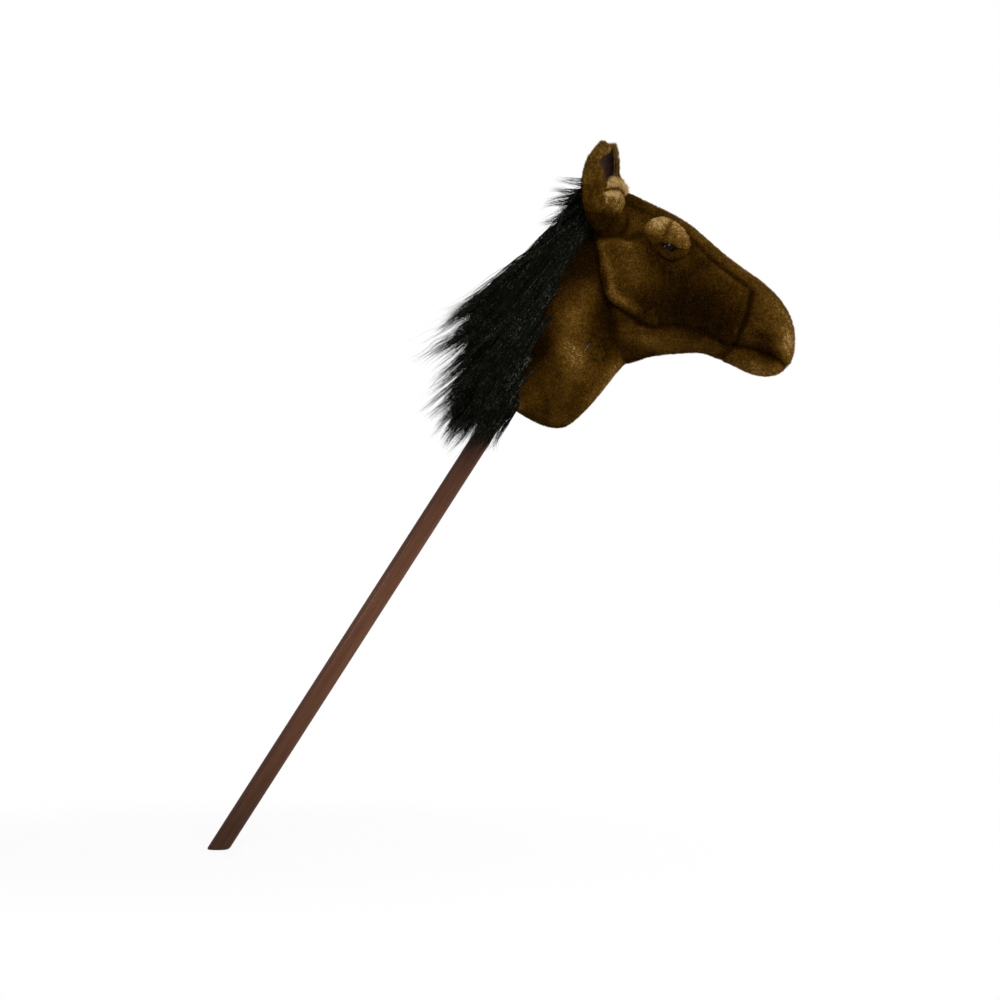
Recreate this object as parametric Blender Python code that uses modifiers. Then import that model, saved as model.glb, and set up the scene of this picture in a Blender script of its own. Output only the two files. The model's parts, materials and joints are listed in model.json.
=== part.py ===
"""A hobby horse: a plush horse's head and neck on a varnished wooden pole.

Lengths are in metres and +Z is up. +X is the way the horse looks and +Y is its left side.
The origin is the middle of the pole's foot, which lies flat on the ground when the horse is
held at its riding slant. Sewn pieces are cut from two lofted forms, the head and the neck.
"""

import math

import bmesh
import bpy
from mathutils import Matrix, Vector
from mathutils.bvhtree import BVHTree

MM = 0.001
DEGREE = math.pi / 180

# Fits
FIT = 0.3 * MM  # between pieces that touch
SEAM_GAP = 0.5 * MM  # between panels that are sewn together
PLUSH = 3.0 * MM  # pile and its backing

# Riding pose
POLE_LEAN = 32.7 * DEGREE  # from upright, forwards
HEAD_DIP = 25.0 * DEGREE  # of the head's long axis below level

# Pole
POLE_DIAMETER = 24 * MM
POLE_LENGTH = 915 * MM
POLE_IN_HEAD = 39 * MM  # how far the pole goes past the head's centre
FOOT_ROUNDING = 3.5 * MM
POLE_SIDES = 32
ROUND_SIDES = 24  # of other turned pieces
SMALL_SIDES = 12  # of screws and their holes
CAP_WALL = 3.0 * MM
CAP_SKIRT = 22 * MM
CAP_CROWN = 5 * MM
SCREW_DIAMETER = 4 * MM
SCREW_HEAD_DIAMETER = 7.5 * MM
SCREW_HEAD_HEIGHT = 2.4 * MM
CAP_SCREW_LENGTH = 25 * MM
COLLAR_SCREW_LENGTH = 13 * MM

# Neck, measured from its mouth along the pole
NECK_DROP = 211 * MM  # from the head's centre down to the mouth
BASE_DIAMETER = 52 * MM
BASE_THICKNESS = 2.5 * MM
COLLAR_FLANGE_DIAMETER = 46 * MM
COLLAR_FLANGE_HEIGHT = 3 * MM
COLLAR_WALL = 5 * MM
COLLAR_HEIGHT = 20 * MM

# Head
HEAD_REACH = 23.6 * MM  # from the pole's axis forward to the head's centre
RING_POINTS = 10

# Ears
EAR_LENGTH = 116 * MM
EAR_RADIUS = 25 * MM
EAR_BOW = 7 * MM  # of its back, between base and tip
EAR_WALL = 4.0 * MM
EAR_LINING = 2.0 * MM
EAR_OPENS = 42 * DEGREE  # outwards from straight ahead

# Eyes and lids
EYE_DIAMETER = 15 * MM
EYE_HEIGHT = 5 * MM
EYE_SHANK_DIAMETER = 4 * MM
EYE_SHANK_LENGTH = 11 * MM
EYE_SIDES = 18
WASHER_DIAMETER = 18 * MM
WASHER_THICKNESS = 1.6 * MM
WASHER_SINK = 1.4 * MM  # where the curved plush leaves the flat washer
UPPER_LID = (31 * MM, 14 * MM, 8 * MM)  # half length, half height, how far it stands out
LOWER_LID = (20 * MM, 6.5 * MM, 4 * MM)

# Mane
BACKING_WIDTH = 16 * MM
BACKING_THICKNESS = 2.0 * MM
LOCK_LENGTH = 140 * MM
LOCK_RADIUS = 17 * MM
LOCKS_IN_ROW = 5
LOCK_STEPS = 4
LOCK_SPLAY_TOP = 3 * DEGREE  # of the hair away from the pole
LOCK_SPLAY_BOTTOM = 33 * DEGREE
HAIR_SPREAD = 54 * MM  # of the outer locks to each side
HAIR_FORWARD_BOTTOM = 60 * MM  # of the outer locks over the neck
HAIR_FORWARD_TOP = 22 * MM

# Sound unit
BUTTON_HEIGHT_IN_NECK = 112 * MM
BUTTON_FORWARD = 40 * MM
BUTTON_TURN = 30 * DEGREE  # from square to the side, towards the throat
BUTTON_TRAVEL = 2.0 * MM
BUTTON_DIAMETER = 16 * MM
BUTTON_PROUD = 4.0 * MM
BUTTON_FLANGE = 2.0 * MM
BUTTON_FLANGE_HEIGHT = 1.5 * MM
STEM_DIAMETER = 5 * MM
STEM_LENGTH = 3.1 * MM  # under the button's flange
CASE_DIAMETER = 36 * MM
CASE_DEPTH = 19 * MM
CASE_WALL = 1.6 * MM
BOARD_THICKNESS = 1.0 * MM
DOME_DIAMETER = 8.4 * MM
DOME_WALL = 0.8 * MM
DOME_HEIGHT = BUTTON_TRAVEL + 1.4 * MM  # so that it still stands when pressed
CELL_DIAMETER = 7.9 * MM
CELL_HEIGHT = 3.6 * MM
CELL_COUNT = 3
SPEAKER_RIM = 2.0 * MM
MAGNET_DIAMETER = 13 * MM
MAGNET_HEIGHT = 2.6 * MM

BROWN_PLUSH = (0.115, 0.062, 0.018)
TAN_PLUSH = (0.26, 0.155, 0.055)
GOLD_PLUSH = (0.20, 0.115, 0.035)

PARTS = "hobby horse"
GUIDES = "guides"


def clear_scene():
    for thing in list(bpy.data.objects):
        bpy.data.objects.remove(thing, do_unlink=True)
    for name in (PARTS, GUIDES):
        group = bpy.data.collections.new(name)
        bpy.context.scene.collection.children.link(group)


def material(name, colour, roughness, metallic=0.0):
    finish = bpy.data.materials.new(name)
    finish.use_nodes = True
    shader = finish.node_tree.nodes["Principled BSDF"]
    shader.inputs["Base Color"].default_value = (*colour, 1)
    shader.inputs["Roughness"].default_value = roughness
    shader.inputs["Metallic"].default_value = metallic
    return finish


def empty(name, parent=None, place=Matrix.Identity(4)):
    """A frame that pieces hang on, at a place in its parent's frame."""
    thing = bpy.data.objects.new(name, None)
    bpy.data.collections[GUIDES].objects.link(thing)
    thing.parent = parent
    thing.matrix_local = place
    bpy.context.view_layer.update()
    return thing


def solid(name, shape, parent, finish=None):
    """An object from a bmesh. Without a finish it is a guide, which only cuts others."""
    bmesh.ops.recalc_face_normals(shape, faces=shape.faces)
    mesh = bpy.data.meshes.new(name)
    shape.to_mesh(mesh)
    shape.free()
    thing = bpy.data.objects.new(name, mesh)
    return enrol(thing, parent, finish)


def enrol(thing, parent, finish):
    group = PARTS if finish else GUIDES
    bpy.data.collections[group].objects.link(thing)
    thing.parent = parent
    if finish:
        thing.data.materials.clear()
        thing.data.materials.append(finish)
        thing.data.shade_smooth()
        thing.data.set_sharp_from_angle(angle=40 * DEGREE)
    else:
        thing.hide_render = True
        thing.display_type = "WIRE"
    return thing


def evaluated(thing):
    bpy.context.view_layer.update()
    graph = bpy.context.evaluated_depsgraph_get()
    return bpy.data.meshes.new_from_object(thing.evaluated_get(graph))


def like(source, name, grow=0.0, finish=None):
    """A copy of a form, swollen or, with a negative number, shrunk by that much. Every copy
    has the same triangles, so that two of them nest with an even gap."""
    shape = bmesh.new()
    shape.from_mesh(evaluated(source))
    bmesh.ops.triangulate(shape, faces=shape.faces)
    mesh = bpy.data.meshes.new(name)
    shape.to_mesh(mesh)
    shape.free()
    copy = bpy.data.objects.new(name, mesh)
    enrol(copy, source.parent, finish)
    copy.matrix_local = source.matrix_local
    if grow:
        swell = copy.modifiers.new("grow", "DISPLACE")
        swell.mid_level = 0
        swell.strength = grow
    return copy


def boolean(thing, other, operation="DIFFERENCE", solver="EXACT"):
    cut = thing.modifiers.new(other.name, "BOOLEAN")
    cut.operation = operation
    cut.object = other
    cut.solver = solver
    return thing


def soft_boolean(thing, other, operation="DIFFERENCE"):
    """A cut between two curved soft forms, where the exact solver leaves open edges."""
    return boolean(thing, other, operation, "MANIFOLD")


def turned(name, profile, parent, finish=None, sides=ROUND_SIDES, place=Matrix.Identity(4)):
    """A turned solid: (radius, height) points down its outer side, spun round local Z.

    A profile that starts away from the axis is a closed ring."""
    mesh = bpy.data.meshes.new(name)
    edges = [(i, i + 1) for i in range(len(profile) - 1)]
    if profile[0][0] > 0:
        edges.append((len(profile) - 1, 0))
    mesh.from_pydata([(r, 0, z) for r, z in profile], edges, [])
    thing = bpy.data.objects.new(name, mesh)
    enrol(thing, parent, finish)
    thing.matrix_local = place
    spin = thing.modifiers.new("spin", "SCREW")
    spin.axis = "Z"
    spin.steps = sides
    spin.render_steps = sides
    spin.use_merge_vertices = True
    spin.merge_threshold = 0.00001
    spin.use_smooth_shade = True
    return thing


def drum(name, radius, low, high, parent, finish=None, sides=ROUND_SIDES,
         place=Matrix.Identity(4)):
    """A plain round solid between two heights."""
    profile = [(0, high), (radius, high), (radius, low), (0, low)]
    return turned(name, profile, parent, finish, sides, place)


def tube_profile(inner, outer, low, high):
    return [(inner, high), (outer, high), (outer, low), (inner, low)]


def screw_profile(length):
    """A pan-headed screw that points down, its head's underside at height 0."""
    head = SCREW_HEAD_DIAMETER / 2
    shank = SCREW_DIAMETER / 2
    top = SCREW_HEAD_HEIGHT
    return [(0, top), (head * 0.6, top), (head, top * 0.45), (head, 0), (shank, 0),
            (shank, shank - length), (0, -length)]


def prism(name, outline, depth, parent):
    """A flat outline in the local XZ plane, drawn out from one depth in Y to another."""
    shape = bmesh.new()
    corners = [shape.verts.new((x, depth[0], z)) for x, z in outline]
    face = shape.faces.new(corners)
    drawn = bmesh.ops.extrude_face_region(shape, geom=[face])
    moved = [v for v in drawn["geom"] if isinstance(v, bmesh.types.BMVert)]
    bmesh.ops.translate(shape, vec=(0, depth[1] - depth[0], 0), verts=moved)
    return solid(name, shape, parent)


def inset(outline, gap):
    """An outline moved inwards by a gap on every side."""
    points = [Vector(p) for p in outline]
    count = len(points)
    area = sum(points[i - 1].cross(points[i]) for i in range(count))
    inwards = 1 if area > 0 else -1
    moved = []
    for i in range(count):
        before = (points[i] - points[i - 1]).normalized()
        after = (points[(i + 1) % count] - points[i]).normalized()
        first = Vector((-before.y, before.x)) * inwards
        second = Vector((-after.y, after.x)) * inwards
        middle = (first + second).normalized()
        moved.append(points[i] + middle * (gap / max(0.3, middle.dot(first))))
    return moved


def power(value, exponent):
    return math.copysign(abs(value) ** exponent, value)


def soft_form(name, stations, ends, place, boxiness, parent, smooth_surface=True):
    """A stuffed form lofted through rings of (along, low, high, half width), closed at both
    ends. place turns (along, across, up) into a point. The plain form, without a smooth
    surface, is the same one with flat faces, for what lies under the plush."""
    shape = bmesh.new()
    swell = 3 / (2 + math.cos(2 * math.pi / RING_POINTS)) if smooth_surface else 1
    rings = []
    for along, low, high, half_width in stations:
        middle = (low + high) / 2
        half = (high - low) / 2
        ring = []
        for step in range(RING_POINTS):
            turn = math.pi / 2 + 2 * math.pi * step / RING_POINTS
            across = half_width * swell * power(math.cos(turn), boxiness)
            up = middle + half * swell * power(math.sin(turn), boxiness)
            ring.append(shape.verts.new(place(along * MM, across * MM, up * MM)))
        rings.append(ring)
    for ring, after in zip(rings, rings[1:]):
        for i in range(RING_POINTS):
            j = (i + 1) % RING_POINTS
            shape.faces.new((ring[i], ring[j], after[j], after[i]))
    for ring, (along, up) in ((rings[0], ends[0]), (rings[-1], ends[1])):
        pole = shape.verts.new(place(along * MM, 0, up * MM))
        for i in range(RING_POINTS):
            shape.faces.new((ring[i], ring[(i + 1) % RING_POINTS], pole))
    form = solid(name, shape, parent)
    if smooth_surface:
        # subdividing draws a ring in, which swell makes up for
        smooth = form.modifiers.new("smooth", "SUBSURF")
        smooth.levels = 1
        smooth.render_levels = 1
    return form


def surface_seat(form, start, direction):
    """Where a ray from inside a form leaves it: a frame there whose Z points outwards."""
    mesh = evaluated(form)
    tree = BVHTree.FromPolygons([v.co for v in mesh.vertices], [p.vertices for p in mesh.polygons])
    spot, normal, _, _ = tree.ray_cast(start, direction)
    if normal.dot(direction) < 0:
        normal = -normal
    ahead = (Vector((1, 0, 0)) - normal * normal.x).normalized()
    turn = Matrix((ahead, normal.cross(ahead), normal)).transposed()
    return Matrix.Translation(spot) @ turn.to_4x4()


def keep_main_body(thing):
    """Fix a solid's shape as it is now, without the crumbs that a cut can leave beside it."""
    shape = bmesh.new()
    shape.from_mesh(evaluated(thing))
    left = set(shape.verts)
    bodies = []
    while left:
        body = [left.pop()]
        for spot in body:
            near = {edge.other_vert(spot) for edge in spot.link_edges} & left
            left -= near
            body.extend(near)
        bodies.append(body)
    bodies.sort(key=len)
    for crumb in bodies[:-1]:
        bmesh.ops.delete(shape, geom=crumb, context="VERTS")
    thing.modifiers.clear()
    shape.to_mesh(thing.data)
    shape.free()


def make_frames():
    """The empties that hold the pole's, the neck's and the head's own axes."""
    pole = empty("riding_pose", None, Matrix.Rotation(POLE_LEAN, 4, "Y"))
    head_height = POLE_LENGTH - POLE_IN_HEAD
    mouth = empty("neck_mouth", pole, Matrix.Translation((0, 0, head_height - NECK_DROP)))
    centre = Matrix.Translation((HEAD_REACH, 0, head_height))
    head = empty("head_axis", pole, centre @ Matrix.Rotation(HEAD_DIP - POLE_LEAN, 4, "Y"))
    return pole, mouth, head


def make_pole(pole_axis, mouth):
    """The wooden pole with its level foot, the cap on its top and the collar at the neck."""
    wood = material("varnished_wood", (0.11, 0.045, 0.028), 0.28)
    plastic = material("black_plastic", (0.02, 0.02, 0.022), 0.45)
    steel = material("zinc_steel", (0.62, 0.62, 0.60), 0.35, 1.0)
    radius = POLE_DIAMETER / 2
    below = -2 * POLE_DIAMETER

    pole = drum("pole", radius, below, POLE_LENGTH, pole_axis, wood, POLE_SIDES)
    ground = bmesh.new()
    bmesh.ops.create_cube(ground, size=1)
    bmesh.ops.scale(ground, vec=(0.3, 0.3, 0.2), verts=ground.verts)
    bmesh.ops.translate(ground, vec=(0, 0, -0.1), verts=ground.verts)
    boolean(pole, solid("ground", ground, None))
    rounding = pole.modifiers.new("rounded foot", "BEVEL")
    rounding.width = FOOT_ROUNDING
    rounding.segments = 3
    rounding.limit_method = "ANGLE"
    rounding.angle_limit = 50 * DEGREE

    # the cap's skirt goes over the pole's end and its screw goes into the wood
    cap_outer = radius + FIT + CAP_WALL
    cap_low = POLE_LENGTH - CAP_SKIRT
    cap_top = POLE_LENGTH + FIT + CAP_CROWN
    hole = SCREW_DIAMETER / 2 + FIT
    inside = POLE_LENGTH + FIT
    turned("pole_cap", [(hole, cap_top), (cap_outer * 0.7, cap_top),
                        (cap_outer, cap_top - CAP_CROWN * 0.6), (cap_outer, cap_low),
                        (radius + FIT, cap_low), (radius + FIT, inside), (hole, inside)],
           pole_axis, plastic)
    screw_seat = Matrix.Translation((0, 0, cap_top + FIT))
    turned("cap_screw", screw_profile(CAP_SCREW_LENGTH), pole_axis, steel, SMALL_SIDES, screw_seat)
    boolean(pole, drum("cap_screw_hole", hole, cap_top - CAP_SCREW_LENGTH - FIT,
                       POLE_LENGTH + radius, pole_axis, None, SMALL_SIDES))

    # the collar sits on the base panel inside the neck's mouth
    flange_low = BASE_THICKNESS + FIT
    flange_top = flange_low + COLLAR_FLANGE_HEIGHT
    hub = radius + FIT + COLLAR_WALL
    hub_top = flange_low + COLLAR_HEIGHT
    bore = radius + FIT
    collar = turned("pole_collar", [(bore, hub_top), (hub, hub_top), (hub, flange_top),
                                    (COLLAR_FLANGE_DIAMETER / 2, flange_top),
                                    (COLLAR_FLANGE_DIAMETER / 2, flange_low),
                                    (bore, flange_low)], mouth, plastic)
    height = (flange_top + hub_top) / 2
    for side, turn in (("left", -90), ("right", 90)):
        facing = Matrix.Rotation(turn * DEGREE, 4, "X")
        out = Matrix.Translation((0, 0, height)) @ facing @ Matrix.Translation((0, 0, hub + FIT))
        turned("collar_screw_" + side, screw_profile(COLLAR_SCREW_LENGTH), mouth, steel,
               SMALL_SIDES, out)
        reach = drum("collar_screw_hole_" + side, hole, -COLLAR_SCREW_LENGTH - FIT, hole,
                     mouth, None, SMALL_SIDES, out)
        boolean(collar, reach)
        boolean(pole, reach)

    # what the stuffing leaves free round the pole
    envelope = [(0, cap_top + FIT + SCREW_HEAD_HEIGHT + FIT),
                (cap_outer + FIT, cap_top + FIT + SCREW_HEAD_HEIGHT + FIT),
                (cap_outer + FIT, cap_low - FIT), (bore, cap_low - FIT), (bore, below), (0, below)]
    around_pole = turned("around_pole", envelope, pole_axis)
    screws = hub + FIT + SCREW_HEAD_HEIGHT + FIT
    around_collar = turned("around_collar", [
        (0, hub_top + FIT), (screws, hub_top + FIT), (screws, flange_top + FIT),
        (COLLAR_FLANGE_DIAMETER / 2 + FIT, flange_top + FIT),
        (COLLAR_FLANGE_DIAMETER / 2 + FIT, -PLUSH), (0, -PLUSH)], mouth)
    return around_pole, around_collar


def neck_forms(mouth):
    """Rings up the pole: height over the mouth, back, front and half width, in mm."""
    stations = [
        (0, -20, 38, 25), (4, -30, 62, 35), (14, -36, 79, 44), (38, -40, 88, 51),
        (76, -45, 94, 56), (125, -52, 96.5, 56), (170, -56, 95, 53), (206, -56, 86, 47),
        (238, -50, 61, 39), (259, -38, 33, 26)]

    def place(along, across, up):
        return Vector((up, across, along))

    ends = ((0, 8), (270, -4))
    form = soft_form("neck_form", stations, ends, place, 0.88, mouth)
    plain = soft_form("neck_plain", stations, ends, place, 0.88, mouth, False)
    return form, plain


def head_forms(head):
    """Rings along the face: distance ahead of the centre, underside, top, half width, in mm."""
    stations = [
        (-63, 44, 78, 20), (-53, 28, 89, 35), (-38, 12, 93, 46), (-20, -8, 95, 54),
        (0, -46, 95, 59), (20, -76, 95, 61), (42, -93, 94.5, 60), (64, -94, 92, 56),
        (88, -77, 85.5, 50), (117, -60, 77, 45), (148, -45, 70, 41), (180, -42.5, 64, 42.5),
        (210, -43, 52.5, 41), (230, -38, 37, 36), (243, -27, 17, 23)]

    def place(along, across, up):
        return Vector((along, across, up))

    ends = ((-68, 61), (249.5, -6))
    form = soft_form("head_form", stations, ends, place, 0.84, head)
    plain = soft_form("head_plain", stations, ends, place, 0.84, head, False)
    return form, plain


# Sewing lines of the head in its side view: ahead of the centre and up, in mm
BROW_SEAM = [(-110, 79), (-23, 79), (1, 80), (40, 81), (73, 75), (90, 67), (121, 59),
             (145, 54), (167, 50)]
MUZZLE_SEAM = [(167, 50), (171, 24), (172, 9), (174, -9), (174, -24)]
MOUTH = [(174, -24), (189, -12), (206, -10), (223, -11), (240, -15), (280, -22)]
JAW_SEAM = [(-5, -39), (14, -39), (54, -47), (69, -44), (85, -39), (118, -25), (149, -23),
            (174, -24)]
CHEEK_SEAM = [(85, -39), (42, 54)]
CHEEK_TOP = [(42, 54), (14, 60), (-14, 46), (-110, 40)]
CHIN_SEAM = [(174, -24), (169, -33), (163, -90)]
FAR = 130  # well past the head on every side


def head_regions():
    """The outline of each panel, from the lines it shares with its neighbours."""
    cheek_corner = JAW_SEAM.index(CHEEK_SEAM[0])
    return {
        "forehead_strip": BROW_SEAM + [(160, FAR), (-110, FAR)],
        "face": (BROW_SEAM + MUZZLE_SEAM[1:] + JAW_SEAM[-2:cheek_corner:-1] + CHEEK_SEAM
                 + CHEEK_TOP[1:]),
        "cheek": [(-110, 40), (-110, -110), (-5, -110)] + JAW_SEAM[:cheek_corner + 1]
                 + CHEEK_SEAM[1:] + CHEEK_TOP[1:-1],
        "jaw_strip": JAW_SEAM + CHIN_SEAM[1:] + [(163, -FAR), (-5, -FAR)],
        "muzzle": MUZZLE_SEAM + MOUTH[1:] + [(280, FAR), (160, FAR)],
        "chin": MOUTH + [(280, -90)] + CHIN_SEAM[:0:-1],
    }


def make_head(head, form, plain, around_pole):
    """The sewn panels of the head and the stuffing inside them."""
    colours = {"forehead_strip": BROWN_PLUSH, "face": BROWN_PLUSH, "cheek": GOLD_PLUSH,
               "jaw_strip": GOLD_PLUSH, "muzzle": GOLD_PLUSH, "chin": TAN_PLUSH}
    core = like(plain, "head_core", -PLUSH)
    panels = []
    for region, outline in head_regions().items():
        plush = material(region + "_plush", colours[region], 0.95)
        mm_outline = [(x * MM, z * MM) for x, z in outline]
        edge = inset(mm_outline, SEAM_GAP / 2)
        far = FAR * MM
        spans = {region: (-far, far)}
        if region in ("face", "cheek"):
            spans = {region + "_left": (SEAM_GAP / 2, far), region + "_right": (-SEAM_GAP / 2, -far)}
        for name, depth in spans.items():
            panel = like(form, name, 0, plush)
            soft_boolean(panel, prism(name + "_outline", edge, depth, head), "INTERSECT")
            soft_boolean(panel, core)
            if region == "cheek":
                soft_boolean(panel, around_pole)
            panels.append(panel)
    wadding = material("wadding", (0.8, 0.8, 0.78), 0.9)
    stuffing = like(plain, "head_stuffing", -PLUSH - FIT, wadding)
    soft_boolean(stuffing, around_pole)
    return panels, stuffing, core


def make_neck(mouth, form, plain, over_head, head_core, around_pole, around_collar):
    """Two neck covers that meet at the throat and the crest, their base panel and stuffing."""
    plush = material("neck_plush", GOLD_PLUSH, 0.95)
    pale = material("base_cloth", (0.62, 0.55, 0.42), 0.9)
    core = like(plain, "neck_core", -PLUSH)
    recess = drum("base_recess", BASE_DIAMETER / 2 + FIT, -2 * PLUSH,
                  BASE_THICKNESS + COLLAR_FLANGE_HEIGHT, mouth)
    far = 2 * BUTTON_HEIGHT_IN_NECK
    covers = []
    for side, way in (("left", 1), ("right", -1)):
        cover = like(form, "neck_cover_" + side, 0, plush)
        outline = [(-far, -far), (far, -far), (far, 2 * far), (-far, 2 * far)]
        half = prism("neck_half_" + side, outline, (way * SEAM_GAP / 2, way * far), mouth)
        soft_boolean(cover, half, "INTERSECT")
        for other in (core, over_head, head_core):
            soft_boolean(cover, other)
        soft_boolean(cover, recess)
        covers.append(cover)
    turned("neck_base_panel", tube_profile(POLE_DIAMETER / 2 + FIT, BASE_DIAMETER / 2, 0,
                                           BASE_THICKNESS), mouth, pale)
    wadding = material("neck_wadding", (0.8, 0.8, 0.78), 0.9)
    stuffing = like(plain, "neck_stuffing", -PLUSH - FIT, wadding)
    for other in (over_head, head_core, around_pole, around_collar, recess):
        soft_boolean(stuffing, other)
    return covers, stuffing


def ear_surface(shrink, trim):
    """An ear as a cupped leaf: rows up its length, each an arc round the ear's own axis.

    shrink draws it in towards the axis and trim shortens every edge."""
    rows = [(0.0, 0.48, 150), (0.12, 0.86, 145), (0.34, 1.06, 127), (0.60, 1.05, 115),
            (0.86, 0.86, 104), (1.0, 0.36, 92)]
    across = 6
    shape = bmesh.new()
    grid = []
    for share, width, half_turn in rows:
        radius = max(EAR_RADIUS * width - shrink, EAR_RADIUS * width * 0.3)
        height = trim + share * (EAR_LENGTH - 2 * trim)
        sweep = half_turn * DEGREE - trim / EAR_RADIUS
        row = []
        for step in range(across + 1):
            turn = sweep * (2 * step / across - 1)
            back = radius * math.cos(turn) + EAR_BOW * math.sin(math.pi * share)
            row.append(shape.verts.new((-back, radius * math.sin(turn), height)))
        grid.append(row)
    for low, high in zip(grid, grid[1:]):
        for i in range(across):
            shape.faces.new((low[i], low[i + 1], high[i + 1], high[i]))
    return shape


def ear_leaf(name, shrink, trim, wall, parent, finish, rounded=True):
    shape = ear_surface(shrink, trim)
    middle = Vector((0, 0, EAR_LENGTH / 2))
    bmesh.ops.recalc_face_normals(shape, faces=shape.faces)
    face = max(shape.faces, key=lambda f: -f.calc_center_median().x)
    if face.normal.dot(face.calc_center_median() - middle) < 0:
        bmesh.ops.reverse_faces(shape, faces=shape.faces)
    mesh = bpy.data.meshes.new(name)
    shape.to_mesh(mesh)
    shape.free()
    leaf = bpy.data.objects.new(name, mesh)
    enrol(leaf, parent, finish)
    skin = leaf.modifiers.new("cloth", "SOLIDIFY")
    skin.thickness = wall
    skin.offset = -1
    if rounded:
        smooth = leaf.modifiers.new("smooth", "SUBSURF")
        smooth.levels = 1
        smooth.render_levels = 1
    return leaf


def make_ears(head, over_head):
    """Two cupped ears that stand beside the crown and open forwards and outwards."""
    plush = material("ear_plush", TAN_PLUSH, 0.95)
    lining = material("ear_lining", (0.09, 0.05, 0.045), 0.6)
    around = []
    for side, way in (("left", 1), ("right", -1)):
        base = Vector((-31, way * 50, 36)) * MM
        tip = Vector((-65, way * 52, 146)) * MM
        up = (tip - base).normalized()
        opening = Vector((math.cos(EAR_OPENS), way * math.sin(EAR_OPENS), 0))
        opening = (opening - up * opening.dot(up)).normalized()
        turn = Matrix((opening, up.cross(opening), up)).transposed()
        axis = empty("ear_axis_" + side, head, Matrix.Translation(base) @ turn.to_4x4())
        shell = ear_leaf("ear_" + side, 0, 0, EAR_WALL, axis, plush)
        shell_room = like(shell, "ear_room_" + side, 2 * FIT)
        soft_boolean(shell, over_head)
        inner = ear_leaf("ear_lining_" + side, EAR_WALL + FIT, 3 * EAR_LINING, EAR_LINING,
                         axis, lining, False)
        soft_boolean(inner, shell_room)
        soft_boolean(inner, over_head)
        keep = EAR_RADIUS * 1.1 + FIT
        bowed = Matrix.Translation((-EAR_BOW, 0, 0))
        around.append(turned("around_ear_" + side, [
            (0, EAR_LENGTH * 1.02), (keep * 0.5, EAR_LENGTH), (keep * 0.85, EAR_LENGTH * 0.8),
            (keep, EAR_LENGTH * 0.5), (keep, EAR_LENGTH * 0.2), (keep * 0.9, -FIT), (0, -FIT)],
            axis, None, EYE_SIDES, bowed))
    return around


def half_egg(name, sizes, parent, place, finish):
    """A pad: an ellipsoid, of which the form under it cuts away the lower half."""
    shape = bmesh.new()
    bmesh.ops.create_uvsphere(shape, u_segments=14, v_segments=8, radius=1)
    bmesh.ops.scale(shape, vec=sizes, verts=shape.verts)
    pad = solid(name, shape, parent, finish)
    pad.matrix_local = place
    return pad


def make_eyes(head, form, over_head, panels, stuffing):
    """Safety eyes through the plush, held by washers, under padded lids."""
    gloss = material("eye_gloss", (0.01, 0.008, 0.006), 0.05)
    clip = material("washer_plastic", (0.75, 0.75, 0.72), 0.5)
    lid_plush = material("lid_plush", TAN_PLUSH, 0.95)
    radius = EYE_DIAMETER / 2
    shank = EYE_SHANK_DIAMETER / 2
    washer_top = -PLUSH - WASHER_SINK
    washer_low = washer_top - WASHER_THICKNESS
    for side, way in (("left", 1), ("right", -1)):
        sideways = Vector((0, way, 0))
        eye = surface_seat(form, Vector((51, 0, 52)) * MM, sideways)
        eye = eye @ Matrix.Translation((0, 0, FIT))
        dome = [(radius * math.sin(a * DEGREE), EYE_HEIGHT * math.cos(a * DEGREE))
                for a in range(0, 90, 22)]
        turned("eye_" + side, dome + [(radius, 0), (shank, 0), (shank, -EYE_SHANK_LENGTH),
                                      (0, -EYE_SHANK_LENGTH)], head, gloss, EYE_SIDES, eye)
        turned("eye_washer_" + side, tube_profile(shank + FIT, WASHER_DIAMETER / 2, washer_low,
                                                  washer_top), head, clip, EYE_SIDES, eye)
        hole = drum("eye_hole_" + side, shank + FIT, -EYE_SHANK_LENGTH - FIT, EYE_HEIGHT, head,
                    None, SMALL_SIDES, eye)
        washer_room = drum("washer_room_" + side, WASHER_DIAMETER / 2 + FIT, washer_low - FIT,
                           washer_top + FIT, head, None, EYE_SIDES, eye)
        for panel in panels:
            if panel.name in ("face_" + side, "cheek_" + side):
                soft_boolean(panel, hole)
                soft_boolean(panel, washer_room)
        soft_boolean(stuffing, hole)
        soft_boolean(stuffing, washer_room)
        around_eye = drum("around_eye_" + side, radius + FIT, -FIT, 2 * EYE_HEIGHT, head, None,
                          EYE_SIDES, eye)
        upper = surface_seat(form, Vector((43, 0, 70)) * MM, sideways)
        lower = surface_seat(form, Vector((53, 0, 43)) * MM, sideways)
        pads = (("upper_lid_", UPPER_LID, upper, -4), ("lower_lid_", LOWER_LID, lower, 4))
        for name, sizes, place, tilt in pads:
            tilted = place @ Matrix.Rotation(-way * tilt * DEGREE, 4, "Z")
            pad = half_egg(name + side, sizes, head, tilted, lid_plush)
            soft_boolean(pad, over_head)
            soft_boolean(pad, around_eye)


def crest_point(share):
    """A point on the back of the neck, from its mouth (0) to between the ears (1)."""
    line = [(-30, 12), (-41, 50), (-48, 95), (-55, 145), (-58, 195), (-55, 238), (-48, 268),
            (-34, 290)]
    spot = share * (len(line) - 1)
    first = min(int(spot), len(line) - 2)
    part = spot - first
    x = line[first][0] * (1 - part) + line[first + 1][0] * part
    z = line[first][1] * (1 - part) + line[first + 1][1] * part
    return Vector((x * MM, 0, z * MM))


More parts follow.
